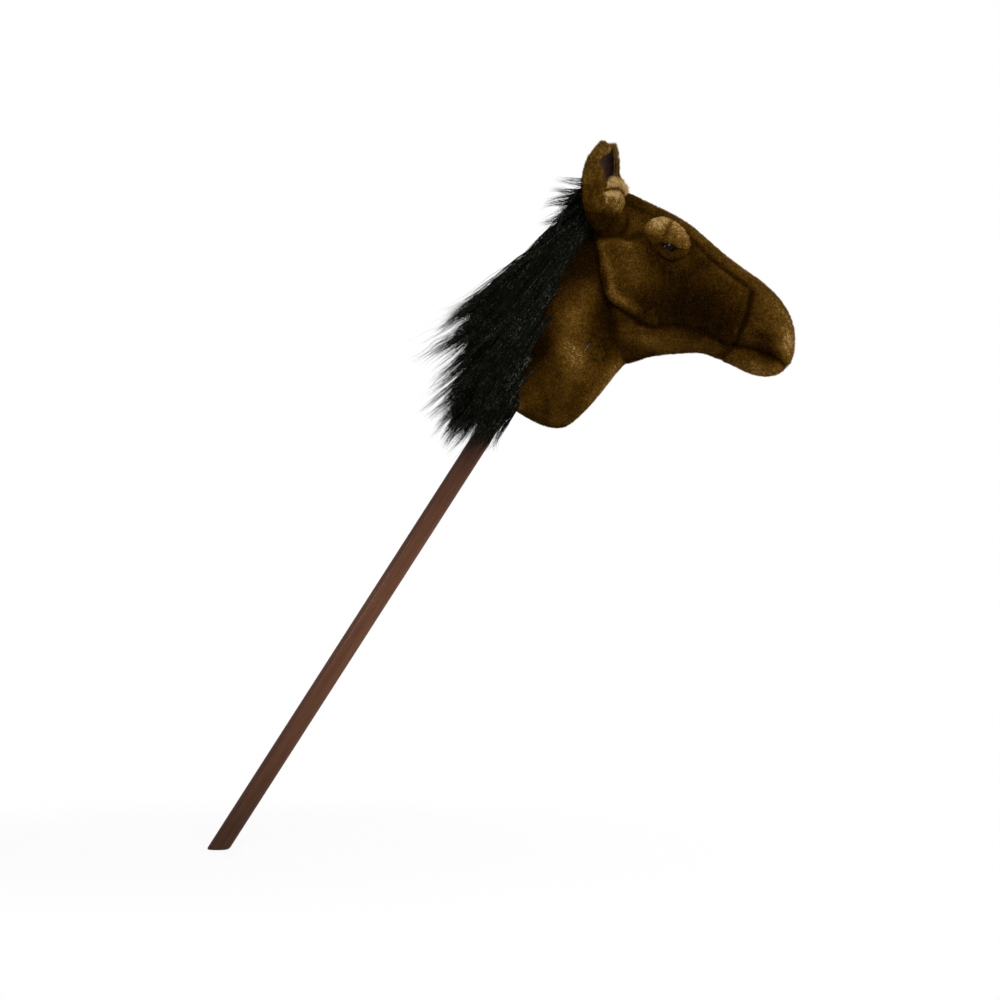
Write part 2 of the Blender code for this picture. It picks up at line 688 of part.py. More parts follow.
def tapered_sweep(name, points, radii, parent):
    """A round sweep along points whose radius changes, as a mesh."""
    curve = bpy.data.curves.new(name, "CURVE")
    curve.dimensions = "3D"
    curve.bevel_depth = 1.0
    curve.bevel_resolution = 1
    curve.use_fill_caps = True
    run = curve.splines.new("POLY")
    run.points.add(len(points) - 1)
    for point, spot, radius in zip(run.points, points, radii):
        point.co = (*spot, 1)
        point.radius = radius
    drawn = bpy.data.objects.new(name, curve)
    bpy.data.collections[GUIDES].objects.link(drawn)
    drawn.parent = parent
    mesh = evaluated(drawn)
    bpy.data.objects.remove(drawn)
    shape = bmesh.new()
    shape.from_mesh(mesh)
    bmesh.ops.remove_doubles(shape, verts=shape.verts, dist=0.00001)
    return solid(name, shape, parent)


def lock_path(share, fall, length):
    """A lock of hair from the crest: out, over to one side by fall, and down the neck."""
    root = crest_point(share)
    splay = LOCK_SPLAY_BOTTOM + (LOCK_SPLAY_TOP - LOCK_SPLAY_BOTTOM) * share
    down = Vector((-math.sin(splay), 0, -math.cos(splay)))
    side = math.copysign(abs(fall) ** 0.45, fall) * HAIR_SPREAD
    ahead = HAIR_FORWARD_BOTTOM + (HAIR_FORWARD_TOP - HAIR_FORWARD_BOTTOM) * share
    points = []
    for step in range(LOCK_STEPS + 1):
        part = step / LOCK_STEPS
        over = math.sin(math.pi / 2 * min(1, part * 2))
        lift = LOCK_RADIUS * 0.5 * math.sin(math.pi * part) * (1 - abs(fall))
        forward = abs(fall) * ahead * over - lift
        points.append(root + down * (length * part) + Vector((forward, side * over, 0)))
    return points


def make_mane(mouth, neck, head, head_grown, neck_grown, around_ears):
    """A strip of backing along the crest, and the hair as locks swept from it."""
    cloth = material("mane_backing", (0.02, 0.02, 0.02), 0.9)
    hair = material("mane_hair", (0.006, 0.007, 0.006), 0.55)
    half = BACKING_WIDTH / 2
    outline = [(x * MM, z * MM) for x, z in
               ((-150, 8), (-18, 8), (-18, 400), (-150, 400))]

    backing = like(neck, "mane_backing", FIT + BACKING_THICKNESS, cloth)
    soft_boolean(backing, like(head, "backing_over_head", FIT + BACKING_THICKNESS), "UNION")
    soft_boolean(backing, neck_grown)
    soft_boolean(backing, head_grown)
    soft_boolean(backing, prism("backing_outline", outline, (-half, half), mouth), "INTERSECT")

    last = 2 * LOCKS_IN_ROW
    outwards = Vector((-LOCK_RADIUS * 0.4, 0, 0))
    ridge = [crest_point(i / last) + outwards for i in range(last + 1)]
    widths = [LOCK_RADIUS * (0.85 if 0 < i < last else 0.5) for i in range(last + 1)]
    mane = tapered_sweep("mane_ridge", ridge, widths, mouth)
    mane.name = "mane"
    bpy.data.collections[GUIDES].objects.unlink(mane)
    mane.hide_render = False
    mane.display_type = "TEXTURED"
    enrol(mane, mouth, hair)
    for row, fall in enumerate((-1.0, -0.35, 0.35, 1.0)):
        for i in range(LOCKS_IN_ROW):
            share = (i + 0.2 * row + 0.1) / LOCKS_IN_ROW
            spread = 0.9 + 0.1 * math.cos(2.3 * i + 1.7 * row)
            length = LOCK_LENGTH * spread * (0.68 + 0.32 * share)
            path = lock_path(share, fall, length)
            radii = [LOCK_RADIUS * r for r in (0.6, 1.05, 1.0, 0.7, 0.12)]
            soft_boolean(mane, tapered_sweep(f"lock_{row}_{i}", path, radii, mouth), "UNION")
    clear = FIT + BACKING_THICKNESS + FIT
    for other in (like(neck, "under_hair_neck", clear), like(head, "under_hair_head", clear),
                  *around_ears):
        soft_boolean(mane, other)


def make_sound_unit(mouth, form, cover, neighbours):
    """A round sound unit under the neck's right side: press the button and it neighs."""
    shell = material("sound_case", (0.75, 0.75, 0.73), 0.4)
    red = material("button_plastic", (0.45, 0.03, 0.03), 0.35)
    green = material("circuit_board", (0.02, 0.16, 0.06), 0.4)
    rubber = material("dome_rubber", (0.1, 0.1, 0.1), 0.7)
    tin = material("cell_steel", (0.7, 0.7, 0.68), 0.3, 1.0)
    black = material("speaker_metal", (0.05, 0.05, 0.055), 0.5)

    direction = Vector((math.sin(BUTTON_TURN), -math.cos(BUTTON_TURN), 0))
    start = Vector((BUTTON_FORWARD, 0, BUTTON_HEIGHT_IN_NECK))
    under = PLUSH + FIT + BUTTON_PROUD
    spot = surface_seat(form, start, direction).translation
    ahead = Vector((math.cos(BUTTON_TURN), math.sin(BUTTON_TURN), 0))
    turn = Matrix((ahead, direction.cross(ahead), direction)).transposed()
    place = Matrix.Translation(spot - direction * under) @ turn.to_4x4()
    axis = empty("button_axis", mouth, place)

    # heights along the axis, downwards from the lid's outer face
    outer = CASE_DIAMETER / 2
    inner = outer - CASE_WALL
    button = BUTTON_DIAMETER / 2
    flange = button + BUTTON_FLANGE
    flange_top = -CASE_WALL - FIT
    flange_low = flange_top - BUTTON_FLANGE_HEIGHT
    stem_low = flange_low - STEM_LENGTH
    dome_top = stem_low - FIT
    board_top = dome_top - DOME_HEIGHT - FIT
    board_low = board_top - BOARD_THICKNESS
    ledge = board_low - FIT
    floor = -CASE_DEPTH + CASE_WALL
    board = inner - FIT
    ledge_inner = board - 2 * CASE_WALL

    turned("sound_case_base", [
        (0, floor), (ledge_inner, floor), (ledge_inner, ledge), (inner, ledge),
        (inner, -CASE_WALL - FIT), (outer, -CASE_WALL - FIT), (outer, -CASE_DEPTH),
        (0, -CASE_DEPTH)], axis, shell)
    turned("sound_case_lid", [
        (button + FIT, 0), (outer, 0), (outer, -CASE_WALL), (inner - FIT, -CASE_WALL),
        (inner - FIT, -2.5 * CASE_WALL), (inner - CASE_WALL, -2.5 * CASE_WALL),
        (inner - CASE_WALL, -CASE_WALL), (button + FIT, -CASE_WALL)], axis, shell)
    turned("sound_button", [
        (0, BUTTON_PROUD), (button * 0.85, BUTTON_PROUD), (button, BUTTON_PROUD * 0.7),
        (button, flange_top), (flange, flange_top), (flange, flange_low),
        (STEM_DIAMETER / 2, flange_low), (STEM_DIAMETER / 2, stem_low), (0, stem_low)],
        axis, red)
    dome = DOME_DIAMETER / 2
    crown = STEM_DIAMETER / 2
    turned("switch_dome", [
        (0, dome_top), (crown, dome_top), (dome, board_top + DOME_WALL + FIT),
        (dome, board_top + FIT), (dome - 1.5 * DOME_WALL, board_top + FIT),
        (crown - DOME_WALL, dome_top - DOME_WALL), (0, dome_top - DOME_WALL)],
        axis, rubber, SMALL_SIDES)
    drum("sound_board", board, board_low, board_top, axis, green)
    for i in range(CELL_COUNT):
        ring = (dome + FIT + board) / 2
        around = Matrix.Rotation(2 * math.pi * i / CELL_COUNT, 4, "Z")
        drum(f"button_cell_{i + 1}", CELL_DIAMETER / 2, board_top + FIT,
             board_top + FIT + CELL_HEIGHT, axis, tin, EYE_SIDES,
             around @ Matrix.Translation((ring, 0, 0)))
    rim = ledge_inner - FIT
    magnet = MAGNET_DIAMETER / 2
    rim_top = floor + FIT + SPEAKER_RIM
    turned("speaker", [
        (0, rim_top + MAGNET_HEIGHT), (magnet, rim_top + MAGNET_HEIGHT), (magnet, rim_top),
        (rim, rim_top), (rim, floor + FIT), (0, floor + FIT)], axis, black)

    room = outer + FIT
    bottom = -CASE_DEPTH - FIT
    sound_room = drum("sound_room", room, bottom, 3 * under, axis)
    for thing in neighbours:
        soft_boolean(thing, sound_room)
    soft_boolean(cover, drum("sound_pocket", room, bottom, BUTTON_PROUD + FIT, axis))


def main():
    clear_scene()
    pole_axis, mouth, head = make_frames()
    around_pole, around_collar = make_pole(pole_axis, mouth)
    neck, neck_plain = neck_forms(mouth)
    skull, skull_plain = head_forms(head)
    over_head = like(skull, "over_head", FIT)
    over_neck = like(neck, "over_neck", FIT)
    panels, head_stuffing, head_core = make_head(head, skull, skull_plain, around_pole)
    covers, neck_stuffing = make_neck(mouth, neck, neck_plain, over_head, head_core, around_pole,
                                      around_collar)
    around_ears = make_ears(head, over_head)
    make_eyes(head, skull, over_head, panels, head_stuffing)
    make_mane(mouth, neck, skull, over_head, over_neck, around_ears)
    beside_unit = [thing for thing in panels if thing.name in ("jaw_strip", "cheek_right")]
    make_sound_unit(mouth, neck, covers[1], [neck_stuffing, head_stuffing] + beside_unit)
    for thing in bpy.data.collections[PARTS].objects:
        if any(getattr(cut, "solver", "") == "MANIFOLD" for cut in thing.modifiers):
            keep_main_body(thing)


main()
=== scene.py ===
import json
import math
from contextlib import contextmanager

import bmesh
import bpy
import numpy as np
from mathutils import Matrix, Vector
from mathutils.bvhtree import BVHTree

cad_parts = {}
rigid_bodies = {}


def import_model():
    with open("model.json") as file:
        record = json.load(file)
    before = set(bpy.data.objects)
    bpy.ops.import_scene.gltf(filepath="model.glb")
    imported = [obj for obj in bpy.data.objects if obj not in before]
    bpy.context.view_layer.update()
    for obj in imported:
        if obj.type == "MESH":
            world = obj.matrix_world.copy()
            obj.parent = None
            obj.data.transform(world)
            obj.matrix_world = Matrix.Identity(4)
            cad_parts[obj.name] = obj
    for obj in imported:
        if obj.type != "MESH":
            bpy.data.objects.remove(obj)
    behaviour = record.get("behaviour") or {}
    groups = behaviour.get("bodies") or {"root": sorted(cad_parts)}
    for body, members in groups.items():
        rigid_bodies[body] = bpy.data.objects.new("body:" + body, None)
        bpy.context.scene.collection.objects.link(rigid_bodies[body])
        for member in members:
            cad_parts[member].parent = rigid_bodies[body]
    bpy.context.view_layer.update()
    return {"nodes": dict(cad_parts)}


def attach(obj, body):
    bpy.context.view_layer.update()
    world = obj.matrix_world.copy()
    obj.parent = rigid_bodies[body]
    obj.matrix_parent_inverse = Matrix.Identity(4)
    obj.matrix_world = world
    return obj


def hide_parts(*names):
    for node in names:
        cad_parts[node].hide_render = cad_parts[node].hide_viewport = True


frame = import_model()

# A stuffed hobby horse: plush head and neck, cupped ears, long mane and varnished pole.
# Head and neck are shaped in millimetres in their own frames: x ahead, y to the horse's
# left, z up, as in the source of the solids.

MM = 0.001

# The frames of the pole, of the neck's mouth and of the head
POLE_LEAN = math.radians(32.7)
HEAD_DIP = math.radians(25.0)
POLE_LENGTH = 0.915
HEAD_HEIGHT = POLE_LENGTH - 0.039
NECK_DROP = 0.211
HEAD_REACH = 0.0236
POLE_AXIS = Matrix.Rotation(POLE_LEAN, 4, "Y")
MOUTH = POLE_AXIS @ Matrix.Translation((0, 0, HEAD_HEIGHT - NECK_DROP))
HEAD = (POLE_AXIS @ Matrix.Translation((HEAD_REACH, 0, HEAD_HEIGHT))
        @ Matrix.Rotation(HEAD_DIP - POLE_LEAN, 4, "Y"))

# Rings of the stuffed forms: along, low, high, half width
HEAD_RINGS = [
    (-63, 44, 78, 20), (-53, 28, 89, 35), (-38, 12, 93, 46), (-20, -8, 95, 54),
    (0, -46, 95, 59), (20, -76, 95, 61), (42, -93, 94.5, 60), (64, -94, 92, 56),
    (88, -77, 85.5, 50), (117, -60, 77, 45), (148, -45, 70, 41), (180, -42.5, 64, 42.5),
    (210, -43, 52.5, 41), (230, -38, 37, 36), (243, -27, 17, 23)]
HEAD_TIPS = ((-68, 61), (249.5, -6))
HEAD_BOXINESS = 0.84
NECK_RINGS = [
    (0, -20, 38, 25), (4, -30, 62, 35), (14, -36, 79, 44), (38, -40, 88, 51),
    (76, -45, 94, 56), (125, -52, 96.5, 56), (170, -56, 95, 53), (206, -56, 86, 47),
    (238, -50, 61, 39), (259, -38, 33, 26)]
NECK_TIPS = ((0, 8), (270, -4))
NECK_BOXINESS = 0.88

# Sewing lines of the head in its side view: ahead of the centre and up
BROW_SEAM = [(-110, 79), (-23, 79), (1, 80), (40, 81), (73, 75), (90, 67), (121, 59),
             (145, 54), (167, 50)]
MUZZLE_SEAM = [(167, 50), (171, 24), (172, 9), (174, -9), (174, -24)]
MOUTH_LINE = [(174, -24), (184, -20), (196, -16), (211, -15), (226, -15), (242, -17), (280, -22)]
JAW_SEAM = [(-5, -39), (14, -39), (54, -47), (69, -44), (85, -39), (118, -25), (149, -23),
            (174, -24)]
CHEEK_SEAM = [(85, -39), (42, 54)]
CHEEK_TOP = [(42, 54), (14, 60), (-14, 46), (-110, 40)]
CHIN_SEAM = [(174, -24), (169, -33), (163, -90)]
FAR = 130
SEAM_GAP = 0.12


# Node trees

class Wire:
    """A node's output that sums can be written with; each sum adds the node that it needs."""

    def __init__(self, tree, socket):
        self.tree = tree
        self.socket = socket

    def kind(self):
        return self.socket.type

    def math(self, operation, *others):
        return self.tree.node("ShaderNodeMath", {"operation": operation}, self, *others)

    def between(self, low, high):
        """0 at low and below, 1 at high and above, smooth in between."""
        settings = {"interpolation_type": "SMOOTHSTEP"}
        return self.tree.node("ShaderNodeMapRange", settings, self, low, high)


def summed(operation, swapped=False):
    """A method that joins a wire and another value, in the order they are written in."""
    def method(wire, other):
        first, second = (other, wire) if swapped else (wire, other)
        return wire.tree.pair(operation, first, second)
    return method


for sign, operation in (("add", "ADD"), ("sub", "SUBTRACT"), ("mul", "MULTIPLY"),
                        ("truediv", "DIVIDE"), ("pow", "POWER")):
    setattr(Wire, f"__{sign}__", summed(operation))
    setattr(Wire, f"__r{sign}__", summed(operation, True))


class Tree:
    """Adds nodes to a material's or a modifier's tree."""

    def __init__(self, tree):
        self.tree = tree

    def node(self, kind, settings, *values, out=0, **named):
        """A node of any kind: its settings first, then values or links of its sockets."""
        node = self.tree.nodes.new(kind)
        for name, value in settings.items():
            setattr(node, name, value)
        entries = [socket for socket in node.inputs if socket.enabled]
        for socket, value in zip(entries, values):
            self.feed(socket, value)
        for name, value in named.items():
            name = name.replace("_", " ")
            self.feed(next(socket for socket in entries if socket.name == name), value)
        if out is None:
            return node
        exits = [socket for socket in node.outputs if socket.enabled]
        return Wire(self, exits[out] if isinstance(out, int) else node.outputs[out])

    def feed(self, socket, value):
        if value is None:
            return
        if isinstance(value, Wire):
            self.tree.links.new(value.socket, socket)
        else:
            socket.default_value = value

    def pair(self, operation, first, second):
        """Two colours, vectors or numbers through the node that their kind needs."""
        kinds = [w.kind() for w in (first, second) if isinstance(w, Wire)]
        sizes = [len(w) for w in (first, second) if not isinstance(w, (Wire, int, float))]
        if "RGBA" in kinds or 4 in sizes:
            return self.mixed(operation, first, second)
        if "VECTOR" in kinds or 3 in sizes:
            return self.vectors(operation, first, second)
        return self.node("ShaderNodeMath", {"operation": operation}, first, second)

    def mixed(self, operation, first, second, factor=1.0):
        """Two colours, or a colour and a value, through a Mix node."""
        colours = [(v, v, v, 1) if isinstance(v, (int, float)) else v for v in (first, second)]
        settings = {"data_type": "RGBA", "blend_type": operation, "clamp_factor": True}
        return self.node("ShaderNodeMix", settings, factor, *colours)

    def mix(self, factor, first, second):
        return self.mixed("MIX", first, second, factor)

    def vectors(self, operation, first, second):
        """Two vectors, or a vector and a value, through a Vector Math node."""
        if operation == "MULTIPLY" and isinstance(first, (int, float)):
            first, second = second, first
        plain = isinstance(second, (int, float))
        if operation == "MULTIPLY" and (plain or isinstance(second, Wire) and second.kind() == "VALUE"):
            return self.node("ShaderNodeVectorMath", {"operation": "SCALE"}, first, Scale=second)
        return self.node("ShaderNodeVectorMath", {"operation": operation}, first, second)

    def noise(self, where, scale, detail=2.0, roughness=0.5):
        return self.node("ShaderNodeTexNoise", {}, Vector=where, Scale=scale, Detail=detail,
                         Roughness=roughness)

    def attribute(self, name):
        return self.node("ShaderNodeAttribute", {"attribute_name": name}, out="Fac")

    def seen(self):
        """1 for what the camera, a gloss or a clear body sees straight, 0 for light on a surface."""
        rays = self.node("ShaderNodeLightPath", {}, out=None).outputs
        seen = Wire(self, rays["Is Camera Ray"])
        for ray in ("Is Glossy Ray", "Is Transmission Ray"):
            seen = seen.math("MAXIMUM", Wire(self, rays[ray]))
        return seen


class Finish(Tree):
    """A material, and its Principled shader."""

    def __init__(self, name, **plain):
        self.material = bpy.data.materials.new(name)
        self.material.use_nodes = True
        super().__init__(self.material.node_tree)
        self.shader = self.tree.nodes["Principled BSDF"]
        self.set(**plain)
        self.place = self.node("ShaderNodeTexCoord", {}, out="Object")

    def set(self, **sockets):
        for name, value in sockets.items():
            self.feed(self.shader.inputs[name.replace("_", " ")], value)

    def bump(self, height, strength, distance):
        normal = self.node("ShaderNodeBump", {}, Strength=strength, Distance=distance,
                           Height=height)
        self.set(Normal=normal)

    def stretched(self, scale, turn=(0, 0, 0)):
        """Object coordinates, turned and then drawn out along some axes."""
        turned = self.node("ShaderNodeMapping", {"vector_type": "POINT"}, Vector=self.place,
                           Rotation=turn)
        return self.node("ShaderNodeMapping", {"vector_type": "POINT"}, Vector=turned,
                         Scale=scale)


def shown(red, green, blue):
    """A colour as a screen shows it, from 0 to 255, turned into the renderer's own scale."""
    parts = []
    for value in (red, green, blue):
        value /= 255
        parts.append(value / 12.92 if value < 0.04045 else ((value + 0.055) / 1.055) ** 2.4)
    return (*parts, 1.0)


# Meshes as arrays of points and faces

def to_world(points, place):
    turn = np.array(place)
    return points * MM @ turn[:3, :3].T + turn[:3, 3]


def to_local(points, place):
    turn = np.array(place.inverted())
    return (points @ turn[:3, :3].T + turn[:3, 3]) / MM


def directions_to_world(vectors, place):
    return vectors @ np.array(place)[:3, :3].T


def on_curve(knots, values, at):
    """Values on a smooth curve through the ones given."""
    slope = np.gradient(values, knots, axis=0)
    index = np.clip(np.searchsorted(knots, at, "right") - 1, 0, len(knots) - 2)
    width = (knots[index + 1] - knots[index])[:, None]
    t = (at - knots[index])[:, None] / width
    return ((2 * t**3 - 3 * t**2 + 1) * values[index] + (t**3 - 2 * t**2 + t) * width * slope[index]
            + (3 * t**2 - 2 * t**3) * values[index + 1] + (t**3 - t**2) * width * slope[index + 1])


def chords(values):
    steps = np.linalg.norm(np.diff(values, axis=0), axis=1)
    return np.concatenate(([0], np.cumsum(steps)))


def smooth_line(points, step=1.0):
    """Points every step millimetres along a smooth line."""
    points = np.array(points, float)
    knots = chords(points)
    fine = on_curve(knots, points, np.linspace(0, knots[-1], 20 * len(points)))
    run = chords(fine)
    count = max(3, int(run[-1] / step) + 1)
    at = np.linspace(0, run[-1], count)
    return np.stack([np.interp(at, run, column) for column in fine.T], axis=1)


def tube_faces(rows, around):
    """Faces between rings of points."""
    return [(r * around + i, r * around + (i + 1) % around, (r + 1) * around + (i + 1) % around,
             (r + 1) * around + i) for r in range(rows - 1) for i in range(around)]


def tip_faces(rows, around):
    """Faces that close a tube to the two points that follow its rings."""
    top, start = (rows - 1) * around, rows * around
    faces = []
    for i in range(around):
        j = (i + 1) % around
        faces += [(i, start, j), (top + i, top + j, start + 1)]
    return faces


def loft(rings, tips, boxiness, along_count, around_count):
    """A closed form through its rings: points as (along, across, up), and faces."""
    rings = np.array(rings, float)
    first, last = (np.array([along, up, up, 0.0]) for along, up in tips)
    turned = [rings[0][[0, 2, 1, 3]] * (1, 1, 1, -1), rings[-1][[0, 2, 1, 3]] * (1, 1, 1, -1)]
    values = np.vstack([turned[0], first, rings, last, turned[1]])
    knots = chords(values)
    fine = np.linspace(knots[1], knots[-2], 60 * len(values))
    run = chords(on_curve(knots, values, fine))
    at = np.interp(np.linspace(0, run[-1], along_count + 2), run, fine)
    inner = on_curve(knots, values, at)[1:-1]
    turn = math.pi / 2 + 2 * math.pi * np.arange(around_count) / around_count
    sideways = np.sign(np.cos(turn)) * np.abs(np.cos(turn)) ** boxiness
    upwards = np.sign(np.sin(turn)) * np.abs(np.sin(turn)) ** boxiness
    middle = (inner[:, 1] + inner[:, 2]) / 2
    half = (inner[:, 2] - inner[:, 1]) / 2
    body = np.stack([
        np.repeat(inner[:, :1], around_count, axis=1), inner[:, 3:] * sideways,
        middle[:, None] + half[:, None] * upwards], axis=2).reshape(-1, 3)
    points = np.vstack([body, [(along, 0, up) for along, up in tips]])
    return points, tube_faces(along_count, around_count) + tip_faces(along_count, around_count)


def linked(name, data):
    """A new object for some data, in the scene."""
    thing = bpy.data.objects.new(name, data)
    bpy.context.scene.collection.objects.link(thing)
    return thing


@contextmanager
def opened(mesh):
    """A mesh to be worked on as a bmesh, which is written back."""
    shape = bmesh.new()
    shape.from_mesh(mesh)
    yield shape
    shape.to_mesh(mesh)
    shape.free()


def mesh_of(name, points, faces):
    """An object from world points and faces, with its faces turned outwards."""
    mesh = bpy.data.meshes.new(name)
    mesh.from_pydata([tuple(p) for p in points], [], faces)
    with opened(mesh) as shape:
        bmesh.ops.recalc_face_normals(shape, faces=shape.faces)
    return linked(name, mesh)


def read(items, what, width=1):
    """A number or a vector for each point, face or kept value of a mesh, as an array."""
    values = np.empty(len(items) * width, np.float32)
    items.foreach_get(what, values)
    return values if width == 1 else values.reshape(-1, width).astype(float)


def points_of(thing):
    return read(thing.data.vertices, "co", 3)


def normals_of(thing):
    return read(thing.data.vertex_normals, "vector", 3)


def set_points(thing, points):
    thing.data.vertices.foreach_set("co", np.asarray(points, np.float32).ravel())
    thing.data.update()


def evaluated(thing):
    bpy.context.view_layer.update()
    return thing.evaluated_get(bpy.context.evaluated_depsgraph_get())


def modified(thing):
    """The thing with its modifiers applied."""
    mesh = bpy.data.meshes.new_from_object(evaluated(thing))
    thing.modifiers.clear()
    old = thing.data
    thing.data = mesh
    mesh.name = thing.name
    bpy.data.meshes.remove(old)
    return thing


def subdivide(thing):
    finer = thing.modifiers.new("finer", "SUBSURF")
    finer.levels = finer.render_levels = 1
    return modified(thing)


def surface_tree(thing):
    mesh = thing.data
    return BVHTree.FromPolygons([v.co for v in mesh.vertices], [p.vertices for p in mesh.polygons])


def copy_of(thing, name):
    return linked(name, thing.data.copy())


def remove(*things):
    for thing in things:
        mesh = thing.data
        bpy.data.objects.remove(thing)
        if mesh.users == 0:
            bpy.data.meshes.remove(mesh)


def cut(thing, tool, operation="DIFFERENCE"):
    step = thing.modifiers.new("cut", "BOOLEAN")
    step.object = tool
    step.operation = operation
    step.solver = "MANIFOLD"
    return modified(thing)


def shrunk(thing, name, depth):
    """A copy drawn in by a depth in millimetres, all round."""
    twin = copy_of(thing, name)
    set_points(twin, points_of(twin) - normals_of(twin) * depth * MM)
    return twin


def prism(name, outline, low, high, place):
    """A closed slab with an outline in (x, z) millimetres, from low to high in y."""
    count = len(outline)
    points = [(x, y, z) for y in (low, high) for x, z in outline]
    faces = [tuple(range(count)), tuple(range(count, 2 * count))]
    for i in range(count):
        j = (i + 1) % count
        faces.append((i, j, count + j, count + i))
    return mesh_of(name, to_world(np.array(points, float), place), faces)


def inset(outline, gap):
    """The outline with every side moved inwards by gap."""
    points = np.array(outline, float)
    after = np.roll(points, -1, axis=0)
    area = np.sum(points[:, 0] * after[:, 1] - after[:, 0] * points[:, 1]) / 2
    sides = after - points
    sides /= np.linalg.norm(sides, axis=1)[:, None]
    inwards = np.stack([-sides[:, 1], sides[:, 0]], axis=1) * math.copysign(1, area)
    before = np.roll(inwards, 1, axis=0)
    return points + (before + inwards) * (gap / (1 + np.sum(before * inwards, axis=1)))[:, None]


def inside_outline(points, outline):
    """Which of the (x, z) points lie inside an outline."""
    within = np.zeros(len(points), bool)
    x, z = points[:, 0], points[:, 1]
    for (x0, z0), (x1, z1) in zip(outline, np.roll(outline, -1, axis=0)):
        if z0 == z1:
            continue
        crosses = (z0 > z) != (z1 > z)
        at = (x1 - x0) * (z - z0) / (z1 - z0) + x0
        within ^= crosses & (x < at)
    return within


def keep_largest(thing):
    """Deletes the crumbs that a cut can leave."""
    with opened(thing.data) as shape:
        left = set(shape.verts)
        bodies = []
        while left:
            body = [left.pop()]
            for spot in body:
                near = {edge.other_vert(spot) for edge in spot.link_edges} & left
                left -= near
                body.extend(near)
            bodies.append(body)
        bodies.sort(key=len)
        for crumb in bodies[:-1]:
            bmesh.ops.delete(shape, geom=crumb, context="VERTS")


# The stuffed forms: blown up between their seams, then creased

def laid_on(tree, line):
    """A side-view line laid on both sides of a form, with the share along it."""
    run = smooth_line(line)
    spots, shares = [], []
    for share, (x, z) in zip(np.linspace(0, 1, len(run)), run):
        for way in (1, -1):
            hit = tree.ray_cast(Vector((x, way * FAR, z)), Vector((0, -way, 0)))[0]
            if hit is not None:
                spots.append(hit)
                shares.append(share)
    return np.array(spots), np.array(shares)


def nearest(points, spots):
    """How far each point is from the spots, and which spot is the nearest."""
    squares = np.sum(spots**2, axis=1)
    gaps, found = [], []
    for chunk in np.array_split(points, max(1, len(points) // 4000)):
        square = np.sum(chunk**2, axis=1)[:, None] + squares - 2 * chunk @ spots.T
        index = np.argmin(square, axis=1)
        gaps.append(np.sqrt(np.maximum(square[np.arange(len(chunk)), index], 0)))
        found.append(index)
    return np.concatenate(gaps), np.concatenate(found)


def creased(points, normals, tree, creases):
    """Presses the creases in, and says how much painted shade each point gets from how deep in a crease
    it is.
    """
    shift = np.zeros(len(points))
    shade = np.zeros(len(points))
    for line, depths, width, puff in creases:
        spots, shares = laid_on(tree, line)
        depth = np.interp(shares, np.linspace(0, 1, len(depths)), depths)
        gap, index = nearest(points, spots)
        here = depth[index]
        shift -= here * np.exp(-(gap / width) ** 1.5)
        reach = gap / (3 * width)
        shift += puff * here / max(depths) * reach * np.exp(1 - reach)
        # painted shade: the plush is painted darker in and beside each crease, the more so the deeper it
        # is
        shade = np.maximum(shade, np.minimum(1, here / 3) * np.exp(-(gap / (1.3 * width)) ** 2))
    return points + normals * shift[:, None], shade


def swollen(points, normals, lumps):
    """Raises lumps: (x, z, reach along, reach across, turn, height) in the side view."""
    shift = np.zeros(len(points))
    side = np.clip(np.abs(points[:, 1]) / 12, 0, 1)
    for x, z, along, across, turn, height in lumps:
        shift += height * bell(points, x, z, along, across, turn) * side
    return points + normals * shift[:, None]


def bell(points, x, z, along, across, turn=0.0):
    cosine, sine = math.cos(math.radians(turn)), math.sin(math.radians(turn))
    dx, dz = points[:, 0] - x, points[:, 2] - z
    return np.exp(-((dx * cosine + dz * sine) / along) ** 2
                  - ((dz * cosine - dx * sine) / across) ** 2)


# the stuffing: how far from a seam it is held back, how far it may push the plush out, and how
# far in the plush starts
SEAM_HOLD = 6.0
STUFFING_PUSH = 4.0
STUFFING_START = 1.2
STUFFING_STEPS = 20


def inflated(thing, pinned):
    """Blows the plush up between its seams, as stuffing does."""
    rest = points_of(thing)
    set_points(thing, rest - normals_of(thing) * STUFFING_START * MM)
    start = points_of(thing)
    group = thing.vertex_groups.new(name="sewn")
    for index, weight in enumerate(pinned):
        group.add([index], float(weight), "REPLACE")
    cloth = thing.modifiers.new("plush", "CLOTH")
    cloth.settings.quality = 5
    cloth.settings.use_pressure = True
    cloth.settings.uniform_pressure_force = 4
    cloth.settings.effector_weights.gravity = 0
    cloth.settings.vertex_group_mass = "sewn"
    cloth.point_cache.frame_end = STUFFING_STEPS
    for step in range(STUFFING_STEPS):
        bpy.context.scene.frame_set(step + 1)
    move = points_of(evaluated(thing)) - start
    size = np.linalg.norm(move, axis=1)[:, None]
    move *= np.minimum(1, STUFFING_PUSH * MM / np.maximum(size, 1e-9))
    thing.modifiers.clear()
    thing.vertex_groups.clear()
    set_points(thing, start + move)
    bpy.context.scene.frame_set(1)


def pins(points, tree, lines):
    """How firmly each point is held: 1 on a seam, less near it.

    A line of None is the seam along the middle, where the left side meets the right."""
    held = np.zeros(len(points))
    for line in lines:
        if line is None:
            gap = np.abs(points[:, 1])
        else:
            gap, _ = nearest(points, laid_on(tree, line)[0])
        held = np.maximum(held, np.exp(-(gap / SEAM_HOLD) ** 2))
    return held


def local_tree(thing, place):
    points = to_local(points_of(thing), place)
    return BVHTree.FromPolygons([Vector(p) for p in points],
                                [p.vertices for p in thing.data.polygons])


def outside_by(points, form):
    """How far world points are outside a form, negative where they are inside."""
    tree = surface_tree(form)
    gaps = np.empty(len(points))
    for i, point in enumerate(points):
        spot, normal, _, distance = tree.find_nearest(Vector(point))
        side = (Vector(point) - spot).dot(normal)
        gaps[i] = math.copysign(distance, side) / MM
    return gaps


